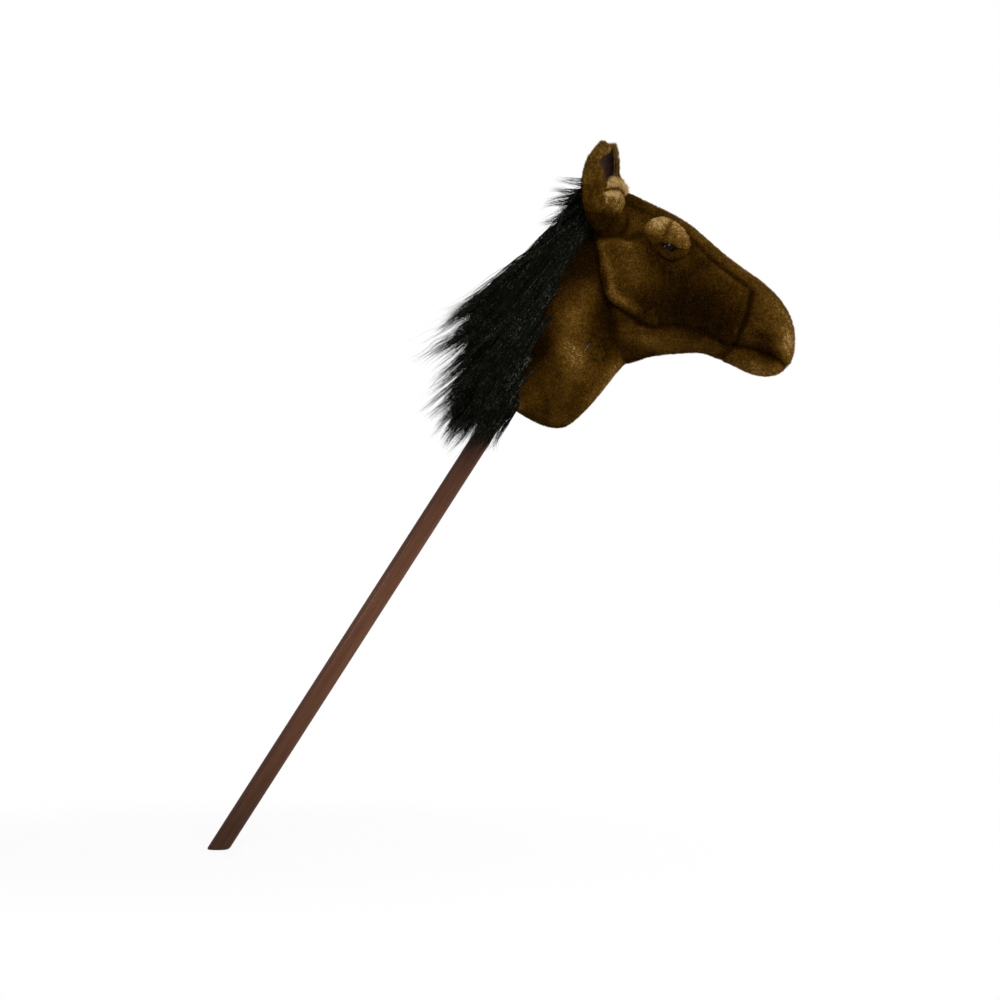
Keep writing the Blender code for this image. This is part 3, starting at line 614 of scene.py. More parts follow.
def note(thing, name, values):
    """Keeps a number for each point, for the materials and the pile."""
    kept = thing.data.attributes.get(name) or thing.data.attributes.new(name, "FLOAT", "POINT")
    kept.data.foreach_set("value", np.asarray(values, np.float32))


def noted(thing, name):
    return read(thing.data.attributes[name].data, "value")


# where the head's plush is drawn in: line, depths along it, width, and the puff beside it;
# a depth below zero is a ridge. Each crease is also painted darker, as painted shade
HEAD_CREASES = [
    ([(-23, 79), (1, 80), (40, 81), (73, 75), (90, 67), (121, 59), (145, 54), (160, 51)],
     (1.4, 2.2, 1.4, 1.6, 2.8, 3.8, 2.6), 2.6, 1.2),
    ([(164, 52), (168, 46), (171, 36), (174, 21), (176, 8), (176, -7), (177, -20)],
     (1.2, 3.8, 5.8, 5.6, 4.8, 3.8, 3.2), 2.6, 2.0),
    ([(170, -4), (172, -14), (176, -25), (172, -39), (168, -52)], (0.4, 2.8, 3.4, 2.4, 0.6), 2.0, 0.8),
    ([(172, 0), (173, -9), (176, -18)], (-0.6, -2.0, -1.4), 2.2, 0.0),
    ([(160, 40), (162, 22), (164, 4)], (0.4, 1.8, 0.6), 2.0, 0.6),
    ([(177, -22), (184, -20), (196, -16), (211, -15), (226, -15), (242, -17), (252, -19)],
     (3.0, 3.8, 4.4, 4.4, 4.4, 4.4, 3.0), 2.3, 2.0),
    ([(-20, 10), (-14, -1), (-4, -15), (6, -29), (17, -37), (31, -41), (46, -44), (60, -47), (75, -45),
      (85, -40), (97, -32), (114, -28), (131, -24), (147, -24), (165, -25), (176, -24)],
     (1.0, 3.4, 5.6, 6.4, 6.2, 5.4, 4.6, 4.0, 3.4, 3.4, 3.6, 3.4, 2.8, 2.4, 2.0, 1.6), 2.7, 1.8),
    ([(-24, 22), (-15, 6), (-2, -12), (10, -25), (22, -32), (40, -35)],
     (-1.4, -3.2, -4.6, -4.8, -3.8, -1.6), 7.0, 0.0),
    ([(41, -67), (63, -59), (80, -49)], (0.8, 1.6, 0.6), 2.4, 0.6),
    ([(58, 23), (69, 0), (77, -24), (84, -38)], (0.6, 1.6, 2.2, 2.0), 3.0, 1.0),
    ([(42, 50), (14, 52), (4, 40), (-8, 38), (-22, 34)], (0.3, 0.8, 2.2, 3.4, 2.6), 3.0, 1.6),
    ([(174, -24), (169, -33), (163, -60)], (2.2, 1.8, 1.2), 2.0, 0.6),
    ([(140, 30), (144, 14), (147, -3), (150, -18)], (0.3, 1.5, 1.7, 0.8), 2.6, 0.5),
    ([(124, 22), (127, 6), (128, -10)], (0.2, 0.9, 0.3), 2.6, 0.4),
    ([(152, 24), (154, 8), (155, -8)], (0.2, 0.9, 0.3), 2.2, 0.4),
    ([(33, 50), (37, 44), (46, 38), (59, 37.5), (69, 44), (76, 54), (80, 62)],
     (0.8, 2.0, 3.0, 3.0, 2.6, 1.8, 0.6), 2.2, 1.4),
    ([(14, 58), (22, 52), (32, 43), (42, 36)], (0.6, 1.8, 2.2, 0.8), 2.2, 1.0),
    ([(-48, 44), (-38, 33), (-26, 30), (-15, 34), (-8, 43), (-7, 54), (-12, 68)],
     (1.0, 2.6, 3.2, 3.2, 3.0, 2.6, 1.0), 2.6, 1.0),
]
# raised places: x, z, reach along, reach across, turn, height
HEAD_LUMPS = [
    (16, 2, 34, 32, 0, 4.0), (-4, 22, 14, 20, 20, 1.6), (52, -18, 22, 18, 0, 1.8),
    (52, 53, 15, 12, 0, -3.2), (30, 62, 9, 14, 0, -1.2), (208, 12, 26, 26, 0, 2.4),
    (116, 12, 28, 24, 0, -1.6), (214, -34, 22, 12, 0, 2.0), (108, -46, 30, 8, 8, 1.2),
    (184, 20, 8, 22, 0, 1.6), (60, -60, 26, 9, 20, 1.6), (206, 41, 3, 3, 0, -1.4),
    (209, 48, 3, 3, 0, -1.2)]
NECK_CREASES = [([(56, 2), (54, 12), (44, 24), (34, 40)], (0.6, 1.0, 1.2, 0.4), 3.0, 0.6)]
NECK_LUMPS = [
    (20, 128, 22, 24, 0, 2.2), (44, 70, 26, 22, 0, 1.6), (-2, 88, 14, 20, 0, -1.6),
    (62, 40, 18, 14, 0, 1.4), (52, 150, 16, 16, 0, 1.0), (24, 30, 14, 12, 0, -1.2),
    (74, 92, 12, 18, 0, 1.2), (10, 168, 20, 12, 0, -1.2)]

# How golden the plush is, from 0 to 1, with painted light and shade in it: its plain tone,
# patches (x, z, reach along, reach across, turn, amount) and streaks (line, amount, width).
# Patches paint the top of the head, the muzzle and the chin lighter, and the face's sides,
# the eye's socket, the mouth and the back of the head darker
HEAD_TONE = 0.31
HEAD_PATCHES = [
    (70, 92, 110, 16, -12, 0.38), (100, 80, 26, 12, -12, 0.1), (150, 66, 40, 15, -12, 0.18),
    (190, 50, 24, 15, -20, 0.2),
    (116, -4, 46, 32, 0, -0.38), (16, 4, 30, 28, 0, 0.24), (33, -12, 16, 14, 0, 0.12),
    (-4, 28, 20, 14, 20, 0.18), (0, 64, 28, 14, 0, 0.26), (214, 24, 34, 36, 0, 0.38),
    (244, 8, 16, 38, 0, 0.54), (204, 2, 17, 8, 0, -0.36), (218, -14, 24, 7, 0, -0.5),
    (216, -42, 40, 16, 0, 0.56), (20, -52, 34, 9, -36, -0.1), (4, -38, 12, 9, 0, 0.3),
    (90, -60, 60, 13, 6, 0.3),
    (130, -42, 36, 12, 0, 0.2), (52, 49, 10, 6, 0, -0.25), (73, 44, 12, 9, -20, 0.22),
    (38, 31, 16, 9, 0, -0.12), (74, 8, 10, 26, 0, 0.04), (152, 24, 14, 24, 0, 0.08),
    (120, 40, 30, 10, -20, 0.08), (-30, 10, 12, 40, 0, -0.15), (66, -24, 22, 10, -10, -0.14),
    (92, 32, 26, 14, 0, -0.06)]
# painted shade along seams and creases, painted highlights on the cheek's rim, the brow's rim and the
# ridge beside the muzzle's crease, and the cheek's golden top
HEAD_STREAKS = [
    ([(-22, 19), (-10, 1), (3, -17), (13, -29), (29, -34), (44, -36)], 0.36, 6.5),
    ([(-20, 28), (-8, 34), (6, 34)], 0.2, 6.0), ([(171, -4), (174, -18)], 0.4, 1.8),
    ([(62, 18), (72, -4), (79, -26)], 0.14, 3.0), ([(90, 62), (121, 54), (150, 47)], 0.12, 3.0),
    ([(76, -45), (97, -31), (114, -27), (131, -24), (147, -24), (165, -25), (177, -22)], -0.22, 2.4),
    ([(-8, -9), (-4, -16), (6, -30), (17, -38), (31, -41), (46, -44), (60, -47), (75, -45)], -0.28, 3.0),
    ([(168, 46), (171, 36), (174, 21), (176, 8), (175, -7), (177, -20)], -0.26, 2.4),
    ([(58, 23), (69, 0), (77, -24), (84, -40)], -0.1, 1.8)]
NECK_TONE = 0.36
# partly painted light and shade: lighter patches where the nap catches the light and along the throat's
# rim, darker under the mane
NECK_PATCHES = [
    (15, 134, 26, 18, 0, 0.44), (40, 94, 30, 17, -20, 0.44), (50, 56, 24, 18, 0, 0.16),
    (14, 168, 14, 18, 0, 0.2), (1, 76, 15, 28, 0, -0.46), (46, 168, 16, 30, 0, -0.34),
    (70, 148, 20, 20, 0, -0.24), (15, 30, 16, 14, 0, 0.04), (96, 100, 13, 90, 0, 0.44),
    (60, 16, 40, 12, 30, 0.14), (-26, 170, 26, 80, 0, -0.3), (0, 200, 16, 20, 0, -0.16),
    (-14, 210, 18, 24, 0, -0.2), (18, 5, 8, 6, 0, 0.5)]

# rings along each form, and points round each ring
ALONG = 84
AROUND = 88


def toned(points, plain, patches, streaks):
    """How golden each point of a form is, with the painted light and shade of its patches and streaks.
    """
    tone = np.full(len(points), plain)
    for *patch, amount in patches:
        tone += amount * bell(points, *patch)
    for line, amount, width in streaks:
        gap, _ = nearest(points[:, [0, 2]], smooth_line(line))
        tone += amount * np.exp(-(gap / width) ** 2)
    return np.minimum(tone, 0.8 + 0.5 * (tone - 0.8))


def head_tone(points):
    return toned(points, HEAD_TONE, HEAD_PATCHES, HEAD_STREAKS)


def neck_tone(points):
    return toned(points, NECK_TONE, NECK_PATCHES, [])


def stuffed_form(name, rings, tips, boxiness, turn, place, seams, creases, lumps, tone):
    """A form's skin from its rings: blown up, made finer and creased."""
    points, faces = loft(rings, tips, boxiness, ALONG, AROUND)
    points = points @ np.array(turn, float)
    skin = mesh_of(name, to_world(points, place), faces)
    plain = copy_of(skin, name + "_plain")
    tree = local_tree(skin, place)
    inflated(skin, pins(points, tree, seams))
    subdivide(skin)
    tree = local_tree(skin, place)
    points = to_local(points_of(skin), place)
    normals = directions_to_world(normals_of(skin), place.inverted())
    points = swollen(points, normals, lumps)
    points, shade = creased(points, normals, tree, creases)
    set_points(skin, to_world(points, place))
    note(skin, "crease_shade", shade)
    note(skin, "gold_and_painted_light", tone(points))
    return skin, plain


AS_HEAD = ((1, 0, 0), (0, 1, 0), (0, 0, 1))
AS_NECK = ((0, 0, 1), (0, 1, 0), (1, 0, 0))
head_skin, head_plain = stuffed_form(
    "head_skin", HEAD_RINGS, HEAD_TIPS, HEAD_BOXINESS, AS_HEAD, HEAD,
    [BROW_SEAM, MUZZLE_SEAM, MOUTH_LINE, JAW_SEAM, CHEEK_SEAM, CHEEK_TOP], HEAD_CREASES,
    HEAD_LUMPS, head_tone)
neck_skin, neck_plain = stuffed_form(
    "neck_skin", NECK_RINGS, NECK_TIPS, NECK_BOXINESS, AS_NECK, MOUTH,
    [None], NECK_CREASES, NECK_LUMPS, neck_tone)


# where the throat's corner begins, ahead of the pole's foot in metres
THROAT_FROM = 0.46


def joined(skin, other, depth, reach, flare):
    """Draws a skin in where it meets the other form, as the seam between them does, paints
    shade along that join, and rounds the corner under the throat by its flare."""
    points = points_of(skin)
    normals = normals_of(skin)
    gap = outside_by(points, other)
    near = np.exp(-(np.maximum(gap, 0) / reach) ** 1.4)
    under = np.clip(-1.6 * normals[:, 2] - 0.2, 0, 1) * (points[:, 0] > THROAT_FROM)
    near = near * (1 - 0.9 * under)
    shift = flare * under * np.exp(-np.abs(gap) / 11) - near * depth
    set_points(skin, points + normals * (shift * (gap > -8))[:, None] * MM)
    # painted shade: the plush is painted darker near where the head and the neck meet
    note(skin, "crease_shade", np.maximum(noted(skin, "crease_shade"), near))
    note(skin, "outside", gap)


neck_before = copy_of(neck_skin, "neck_before")
joined(neck_skin, head_skin, depth=3.2, reach=5.0, flare=9.0)
joined(head_skin, neck_before, depth=1.8, reach=4.0, flare=6.0)
remove(neck_before)


# The panels

# of the plush with its backing
WALL = 5.0


def regions():
    """The outline of each panel of the head, from the lines it shares with its neighbours."""
    corner = JAW_SEAM.index(CHEEK_SEAM[0])
    return {
        "forehead_strip": BROW_SEAM + [(160, FAR), (-110, FAR)],
        "face": BROW_SEAM + MUZZLE_SEAM[1:] + JAW_SEAM[-2:corner:-1] + CHEEK_SEAM + CHEEK_TOP[1:],
        "cheek": [(-110, 40), (-110, -110), (-5, -110)] + JAW_SEAM[:corner + 1]
                 + CHEEK_SEAM[1:] + CHEEK_TOP[1:-1],
        "jaw_strip": JAW_SEAM + CHIN_SEAM[1:] + [(163, -FAR), (-5, -FAR)],
        "muzzle": MUZZLE_SEAM + MOUTH_LINE[1:] + [(280, FAR), (160, FAR)],
        "chin": MOUTH_LINE + [(280, -90)] + CHIN_SEAM[:0:-1],
    }


def keep_faces(thing, name, keep):
    """A copy of a skin with only the faces that are kept, for the pile to stand on."""
    twin = copy_of(thing, name)
    with opened(twin.data) as shape:
        gone = [face for face, kept in zip(shape.faces, keep) if not kept]
        bmesh.ops.delete(shape, geom=gone, context="FACES")
    return twin


def face_middles(thing, place):
    return to_local(read(thing.data.polygons, "center", 3), place)


def panels_of_head():
    """Each panel as a padded piece, and the part of the skin that its pile stands on."""
    core = shrunk(head_plain, "head_core", WALL)
    middles = face_middles(head_skin, HEAD)
    panels = {}
    for region, outline in regions().items():
        cut_line = inset(outline, SEAM_GAP / 2)
        sides = {region: (-FAR, FAR)}
        if region in ("face", "cheek"):
            sides = {region + "_left": (SEAM_GAP / 2, FAR), region + "_right": (-FAR, -SEAM_GAP / 2)}
        within = inside_outline(middles[:, [0, 2]], outline)
        for name, (low, high) in sides.items():
            panel = copy_of(head_skin, name + "_plush")
            block = prism("block", cut_line, low, high, HEAD)
            cut(panel, block, "INTERSECT")
            cut(panel, core)
            keep_largest(panel)
            remove(block)
            kept = within & (middles[:, 1] > low) & (middles[:, 1] < high)
            ground = keep_faces(head_skin, name + "_ground", kept)
            note(panel, "gold_and_painted_light", head_tone(to_local(points_of(panel), HEAD)))
            panels[name] = (panel, ground)
    remove(core)
    return panels


def panels_of_neck():
    core = shrunk(neck_plain, "neck_core", WALL)
    middles = face_middles(neck_skin, MOUTH)
    panels = {}
    for side, low, high in (("left", SEAM_GAP / 2, FAR), ("right", -FAR, -SEAM_GAP / 2)):
        panel = copy_of(neck_skin, "neck_cover_" + side + "_plush")
        half = prism("half", [(-200, -200), (200, -200), (200, 400), (-200, 400)], low, high, MOUTH)
        cut(panel, half, "INTERSECT")
        cut(panel, core)
        cut(panel, head_skin)
        keep_largest(panel)
        remove(half)
        kept = (middles[:, 1] > low) & (middles[:, 1] < high)
        ground = keep_faces(neck_skin, "neck_cover_" + side + "_ground", kept)
        note(panel, "gold_and_painted_light", neck_tone(to_local(points_of(panel), MOUTH)))
        panels["neck_cover_" + side] = (panel, ground)
    remove(core)
    return panels


panels = panels_of_head()
panels.update(panels_of_neck())


# Turned and swept pieces

def turned(name, profile, place, sides=48):
    """Spins a profile of (radius, height) in millimetres round a frame's Z axis."""
    turn = 2 * math.pi * np.arange(sides) / sides
    points, rows = [], []
    for radius, height in profile:
        if radius < 1e-6:
            rows.append([len(points)] * sides)
            points.append((0, 0, height))
        else:
            rows.append(list(range(len(points), len(points) + sides)))
            points.extend((radius * math.cos(a), radius * math.sin(a), height) for a in turn)
    faces = []
    closed = profile[0][0] > 1e-6
    pairs = list(zip(rows, rows[1:])) + ([(rows[-1], rows[0])] if closed else [])
    for low, high in pairs:
        for i in range(sides):
            j = (i + 1) % sides
            corners = [low[i], low[j], high[j], high[i]]
            face = [c for k, c in enumerate(corners) if c not in corners[:k]]
            if len(face) > 2:
                faces.append(tuple(face))
    return mesh_of(name, to_world(np.array(points, float), place), faces)


def swept(name, line, radii, place, sides=16):
    """A round closed sweep along points in millimetres, its radius given at each point."""
    line = np.array(line, float)
    ahead = np.gradient(line, axis=0)
    ahead /= np.linalg.norm(ahead, axis=1)[:, None]
    across = np.cross(ahead[0], (0.3, 0.2, 1.0))
    points = []
    for spot, along, radius in zip(line, ahead, radii):
        across = across - along * np.dot(across, along)
        across /= np.linalg.norm(across)
        up = np.cross(along, across)
        for i in range(sides):
            turn = 2 * math.pi * i / sides
            points.append(spot + radius * (math.cos(turn) * across + math.sin(turn) * up))
    points.extend([line[0] - ahead[0] * radii[0] * 0.6, line[-1] + ahead[-1] * radii[-1] * 0.6])
    faces = tube_faces(len(line), sides) + tip_faces(len(line), sides)
    return mesh_of(name, to_world(np.array(points), place), faces)


# The press spot over the sound unit, a round of plush that goes down with its button

PRESS = Vector((0.420755, -0.866025, -0.270120))  # out of the neck, along the button's axis
SPOT_RADIUS = 9.0
SPOT_GAP = 0.7
button_points = points_of(frame["nodes"]["sound_button"])
button_reach = button_points @ np.array(PRESS)
button_top = button_points[button_reach > button_reach.max() - 0.0001].mean(axis=0)
SPOT = Matrix.Translation(button_top) @ PRESS.to_track_quat("Z", "Y").to_matrix().to_4x4()


def spot_height(radius):
    """How far the neck's plush stands over the button, this far from its middle."""
    tree = surface_tree(neck_skin)
    start = SPOT @ Vector((radius * MM, 0, 0.03))
    hit = tree.ray_cast(start, -PRESS)[0]
    return ((SPOT.inverted() @ hit).z) / MM


SPOT_TOP = spot_height(0.0)
cut(panels["neck_cover_right"][0], turned("spot_hole", [
    (0, -6), (SPOT_RADIUS + SPOT_GAP, -6), (SPOT_RADIUS + SPOT_GAP, 20), (0, 20)], SPOT))
remove(bpy.data.objects["spot_hole"])
press_spot = turned("press_spot", [
    (0, 0.3), (SPOT_RADIUS - 1.5, 0.3), (SPOT_RADIUS - 0.4, 0.8), (SPOT_RADIUS, 1.6),
    (SPOT_RADIUS - 0.1, SPOT_TOP - 2.4), (SPOT_RADIUS - 0.9, SPOT_TOP - 1.2),
    (SPOT_RADIUS - 2.6, SPOT_TOP - 0.4), (SPOT_RADIUS * 0.4, SPOT_TOP + 0.1), (0, SPOT_TOP + 0.2)],
    SPOT)


# What fills the head and the neck, and the cloth under the neck

CAP_TOP = POLE_LENGTH / MM + 8.5
# radii of the rooms that the filling leaves for the hard pieces, and two of their depths
POLE_ROOM = 12.5
CAP_ROOM = 16
CAP_ROOM_DEPTH = 34
COLLAR_ROOM = 21
FLANGE_ROOM = 27
UNIT_ROOM = 18.8
UNIT_ROOM_DEPTH = 24


def unit_space(name, top):
    """The round space of the sound unit, up to a height over its button."""
    return turned(name, [(0, top), (UNIT_ROOM, top), (UNIT_ROOM, -UNIT_ROOM_DEPTH),
                         (0, -UNIT_ROOM_DEPTH)], SPOT)


def fillings():
    """The wadding of the head and of the neck, with room for what it is packed round."""
    cap_foot = CAP_TOP - CAP_ROOM_DEPTH
    pole_room = turned("pole_room", [
        (0, CAP_TOP), (CAP_ROOM, CAP_TOP), (CAP_ROOM, cap_foot), (POLE_ROOM, cap_foot),
        (POLE_ROOM, 500), (0, 500)], POLE_AXIS)
    collar_room = turned("collar_room", [
        (0, 24), (COLLAR_ROOM, 24), (COLLAR_ROOM, 6.2), (FLANGE_ROOM, 6.2), (FLANGE_ROOM, -30),
        (0, -30)], MOUTH)
    unit_room = unit_space("unit_room", 25)
    head_filling = shrunk(head_plain, "head_filling", WALL + 0.4)
    neck_filling = shrunk(neck_plain, "neck_filling", WALL + 0.4)
    head_room = shrunk(head_plain, "head_room", WALL - 0.4)
    for filling in (head_filling, neck_filling):
        cut(filling, pole_room)
        cut(filling, unit_room)
    for other in (collar_room, head_room):
        cut(neck_filling, other)
    keep_largest(neck_filling)
    cut(panels["cheek_right"][0], unit_room)
    cut(panels["jaw_strip"][0], unit_room)
    for side in ("cheek_left", "cheek_right"):
        cut(panels[side][0], pole_room)
    pocket = unit_space("pocket", 0.3)
    cut(panels["neck_cover_right"][0], pocket)
    for side in ("left", "right"):
        cut(panels["neck_cover_" + side][0], collar_room)
    remove(pole_room, collar_room, unit_room, head_room, pocket)
    return head_filling, neck_filling


head_filling, neck_filling = fillings()
base_cloth = turned("base_cloth", [
    (12.4, 0.2), (14, -0.4), (18, -0.7), (22, -0.5), (25, 0.1), (26, 1.2), (25.4, 2.3), (22, 2.4),
    (14, 2.4), (12.4, 2.3)], MOUTH)


# Ears

EAR_LENGTH = 109.0
EAR_OPENS = math.radians(42)
# share of the length, radius, how far it bows back, turns from the back to the outer rim and to
# the inner rim, which wraps across the front below the opening and tucks in under the outer one
EAR_ROWS = [(0.0, 8, -2, 165, 195), (0.1, 16, -1, 166, 200), (0.18, 20.0, 0.8, 176, 210),
            (0.24, 21.4, 2.0, 160, 222), (0.31, 22.6, 3.2, 143, 236), (0.40, 23.8, 3.4, 133, 243),
            (0.48, 24.6, 3.6, 143, 236), (0.54, 23.6, 6.6, 146, 224), (0.59, 22.2, 8.8, 142, 172),
            (0.65, 21.6, 9.6, 137, 143), (0.77, 20.2, 8.9, 118, 136), (0.84, 17.8, 7.4, 126, 132),
            (0.91, 14.8, 5.4, 154, 130), (0.97, 11.6, 3.6, 158, 124), (1.0, 10.0, 3.0, 150, 120)]
EAR_WALL = 3.6
# of the lining: how deep it lies, its wall, the shares of the ear that it covers, and its trim
LINING_DEPTH = EAR_WALL + 0.6
LINING_WALL = 1.0
LINING_REACH = (0.5, 0.95)
LINING_TRIM = 2.5
# middle of the ear's foot and of its tip on the left side, in the head's frame
EAR_FOOT = (-33, 50, 36)
EAR_TIP = (-70, 52, 145)
# rolls and creases in front: share, reach, height
EAR_FOLDS = [(0.32, 0.08, 3.2), (0.485, 0.034, 3.6), (0.435, 0.018, -1.6), (0.2, 0.022, -3.0),
             (0.11, 0.08, 2.6)]


def ear_place(way):
    foot, tip = (Vector((x, way * y, z)) * MM for x, y, z in (EAR_FOOT, EAR_TIP))
    up = (tip - foot).normalized()
    opening = Vector((math.cos(EAR_OPENS), way * math.sin(EAR_OPENS), 0))
    opening = (opening - up * opening.dot(up)).normalized()
    turn = Matrix((opening, up.cross(opening), up)).transposed()
    return HEAD @ Matrix.Translation(foot) @ turn.to_4x4()


def soft_step(values, middle, width):
    """0 below the middle and 1 above it, with a soft step in between."""
    return 1 / (1 + np.exp((middle - values) / width))


def ear_front(turn):
    """1 where a turn round the ear faces its opening, 0 at its back."""
    return np.exp(-((math.pi - np.abs(turn)) / 1.1) ** 4)


def ear_sheet(depth, low, high, trim, rows, across, way):
    """A sheet that follows the ear's cup at a depth under its outside, as a grid of points."""
    knots = np.array([row[0] for row in EAR_ROWS])
    shape = np.array([row[1:] for row in EAR_ROWS], float)
    shares = np.linspace(low, high, rows)
    found = on_curve(knots, shape, shares)
    grid, turns = [], []
    for share, (reach, bow, outer, inner) in zip(shares, found):
        spare = trim / max(reach, 8)
        turn = np.linspace(spare - math.radians(outer), math.radians(inner) - spare, across)
        sway = 0.022 * np.sin(3.1 * turn + 0.6) + 0.012 * np.sin(7 * turn)
        fold = sum(height * np.exp(-((share + sway - at) / wide) ** 2)
                   for at, wide, height in EAR_FOLDS)
        wraps = soft_step(turn, math.radians(100), 0.12)
        under = math.radians(min(360 - outer, inner) - 14)
        tuck = 4.8 * np.clip((turn - under) / math.radians(16), 0, 1)
        radius = reach + fold * (0.25 * ear_front(turn) + 0.75 * wraps) - depth - tuck
        ripple = np.sin(40 * share + 5 * turn) * np.sin(23 * share - 7 * turn)
        radius += (0.3 + 0.6 * wraps) * ripple
        notch = (0.4 * np.exp(-((turn - 0.77) / 0.4) ** 2) + np.exp(-((turn + 2.27) / 0.24) ** 2))
        near_tip = np.clip((share - 0.84) / 0.16, 0, 1)
        lobes = 1 - (0.03 * notch + 0.008 * np.abs(turn / 1.8) ** 4) * near_tip
        back = radius * np.cos(turn) + bow
        points = np.stack([-back, -way * radius * np.sin(turn), EAR_LENGTH * share * lobes], axis=1)
        grid.append(points)
        turns.append(turn)
    return np.array(grid), np.array(turns)


def grid_faces(rows, across):
    return [(r * across + i, r * across + i + 1, (r + 1) * across + i + 1, (r + 1) * across + i)
            for r in range(rows - 1) for i in range(across - 1)]


def thick_sheet(name, sheet, wall, place):
    """A sheet given a wall towards the ear's axis, with its edges rounded."""
    grid, turns = sheet
    rows, across = grid.shape[:2]
    thing = mesh_of(name, to_world(grid.reshape(-1, 3), place), grid_faces(rows, across))
    note(thing, "turn", turns.ravel())
    inside = to_local(points_of(thing), place) - np.array([0, 0, EAR_LENGTH / 2])
    normals = directions_to_world(normals_of(thing), place.inverted())
    if np.sum(inside[:, :2] * normals[:, :2]) < 0:
        thing.data.flip_normals()
    skin = thing.modifiers.new("wall", "SOLIDIFY")
    skin.thickness = wall * MM
    skin.offset = -1
    smooth = thing.modifiers.new("smooth", "SUBSURF")
    smooth.levels = smooth.render_levels = 1
    return modified(thing)


def make_ear(side, way):
    place = ear_place(way)
    cup = ear_sheet(0, 0, 1, 1.0, 64, 41, way)
    inner = ear_sheet(LINING_DEPTH, *LINING_REACH, LINING_TRIM, 24, 21, way)
    shell = thick_sheet(f"ear_{side}_plush", cup, EAR_WALL, place)
    lining = thick_sheet(f"ear_{side}_lining", inner, LINING_WALL, place)
    return shell, lining, place


def ear_tones(shell, place):
    """The ear's gold with painted light and shade, the painted shade of its crease, the length of its
    pile, and where its pile grows.
    """
    points = to_local(points_of(shell), place)
    normals = directions_to_world(normals_of(shell), place.inverted())
    share = points[:, 2] / EAR_LENGTH
    turn = noted(shell, "turn")
    front = ear_front(turn)
    wraps = soft_step(turn, math.radians(96), 0.1)
    shares, _, bows, outers, _ = zip(*EAR_ROWS)
    middle = np.interp(share, shares, bows)
    radial = np.stack([points[:, 0] + middle, points[:, 1]], axis=1)
    outwards = np.sum(radial * normals[:, :2], axis=1) / (np.linalg.norm(radial, axis=1) + 1e-6)

    def band(low, high, soft=0.03):
        return soft_step(share, low, soft / 2) * soft_step(-share, -high, soft / 2)

    ragged = 0.012 * np.sin(23 * turn) + 0.008 * np.sin(51 * turn + 1)
    tuft = wraps * band(0.44, 0.58, 0.012 + np.abs(ragged))
    # the tuft and the golden fold are the plush's own colours; the darker foot and back, the lighter tip
    # and the light line along the fold are painted light and shade
    gold_and_painted_light = 0.62 - 0.36 * band(-0.2, 0.2) + 0.18 * band(0.78, 1.2)
    gold_and_painted_light -= 0.1 * band(0.2, 0.5) * (1 - front)
    gold_and_painted_light += wraps * 0.2 * band(0.2, 0.44, 0.015) + 0.36 * tuft
    gold_and_painted_light += 0.07 * np.sin(13 * turn + 9 * share) * np.sin(21 * share + 2 * turn)
    gold_and_painted_light += 0.22 * np.exp(-((share - 0.42 + 0.02 * np.sin(4 * turn)) / 0.03) ** 2) * wraps
    # painted shade in the crease under the tuft
    crease_shade = np.exp(-((share - 0.44 + 0.022 * np.sin(3.1 * turn + 0.6)) / 0.012) ** 2)
    crease_shade = crease_shade * wraps * np.clip((turn - 2.2) * 1.6, 0, 1)
    note(shell, "gold_and_painted_light", gold_and_painted_light)
    note(shell, "crease_shade", np.clip(crease_shade, 0, 0.7))
    outer_rim = np.interp(share, shares, outers)
    grows = ((outwards > -0.2) | (share > 0.93)) & (turn < np.radians(350 - outer_rim))
    return grows, tuft


ears = {side: make_ear(side, way) for side, way in (("left", 1), ("right", -1))}


# Eyelids

UPPER_LID = [(15, 61), (16, 69), (21, 76.5), (30, 81.5), (43, 83), (56, 80), (68, 73), (75, 65.5),
             (74, 60), (66, 57.5), (57, 56), (47, 54.5), (39, 50.5), (30, 47.5), (21, 53)]
LID_MIDDLE = np.array([45.0, 66.0])
# how high the upper lid swells, how deep its puckers and its fold are, and its hood on the eye
LID_SWELL = 8.2
LID_PUCKER = 1.1
LID_FOLD = 4.0
LID_HOOD = 6.5
LOWER_LID = [(37, 49), (42, 44.5), (50, 42.5), (59, 43.5), (66, 48.5), (71, 54), (74, 58.5)]


def closed_line(points, count):
    """Evenly spaced points round a smooth closed line."""
    points = np.array(points, float)
    ring = np.vstack([points[-3:], points, points[:4]])
    knots = chords(ring)
    fine = np.linspace(knots[3], knots[3 + len(points)], 40 * len(points))
    line = on_curve(knots, ring, fine)
    run = chords(line)
    at = np.linspace(0, run[-1], count, endpoint=False)
    return np.stack([np.interp(at, run, column) for column in line.T], axis=1)


def on_skin(tree, x, z, way):
    spot, normal, _, _ = tree.ray_cast(Vector((x, way * FAR, z)), Vector((0, -way, 0)))
    if normal.y * way < 0:
        normal = -normal
    return np.array(spot), np.array(normal)


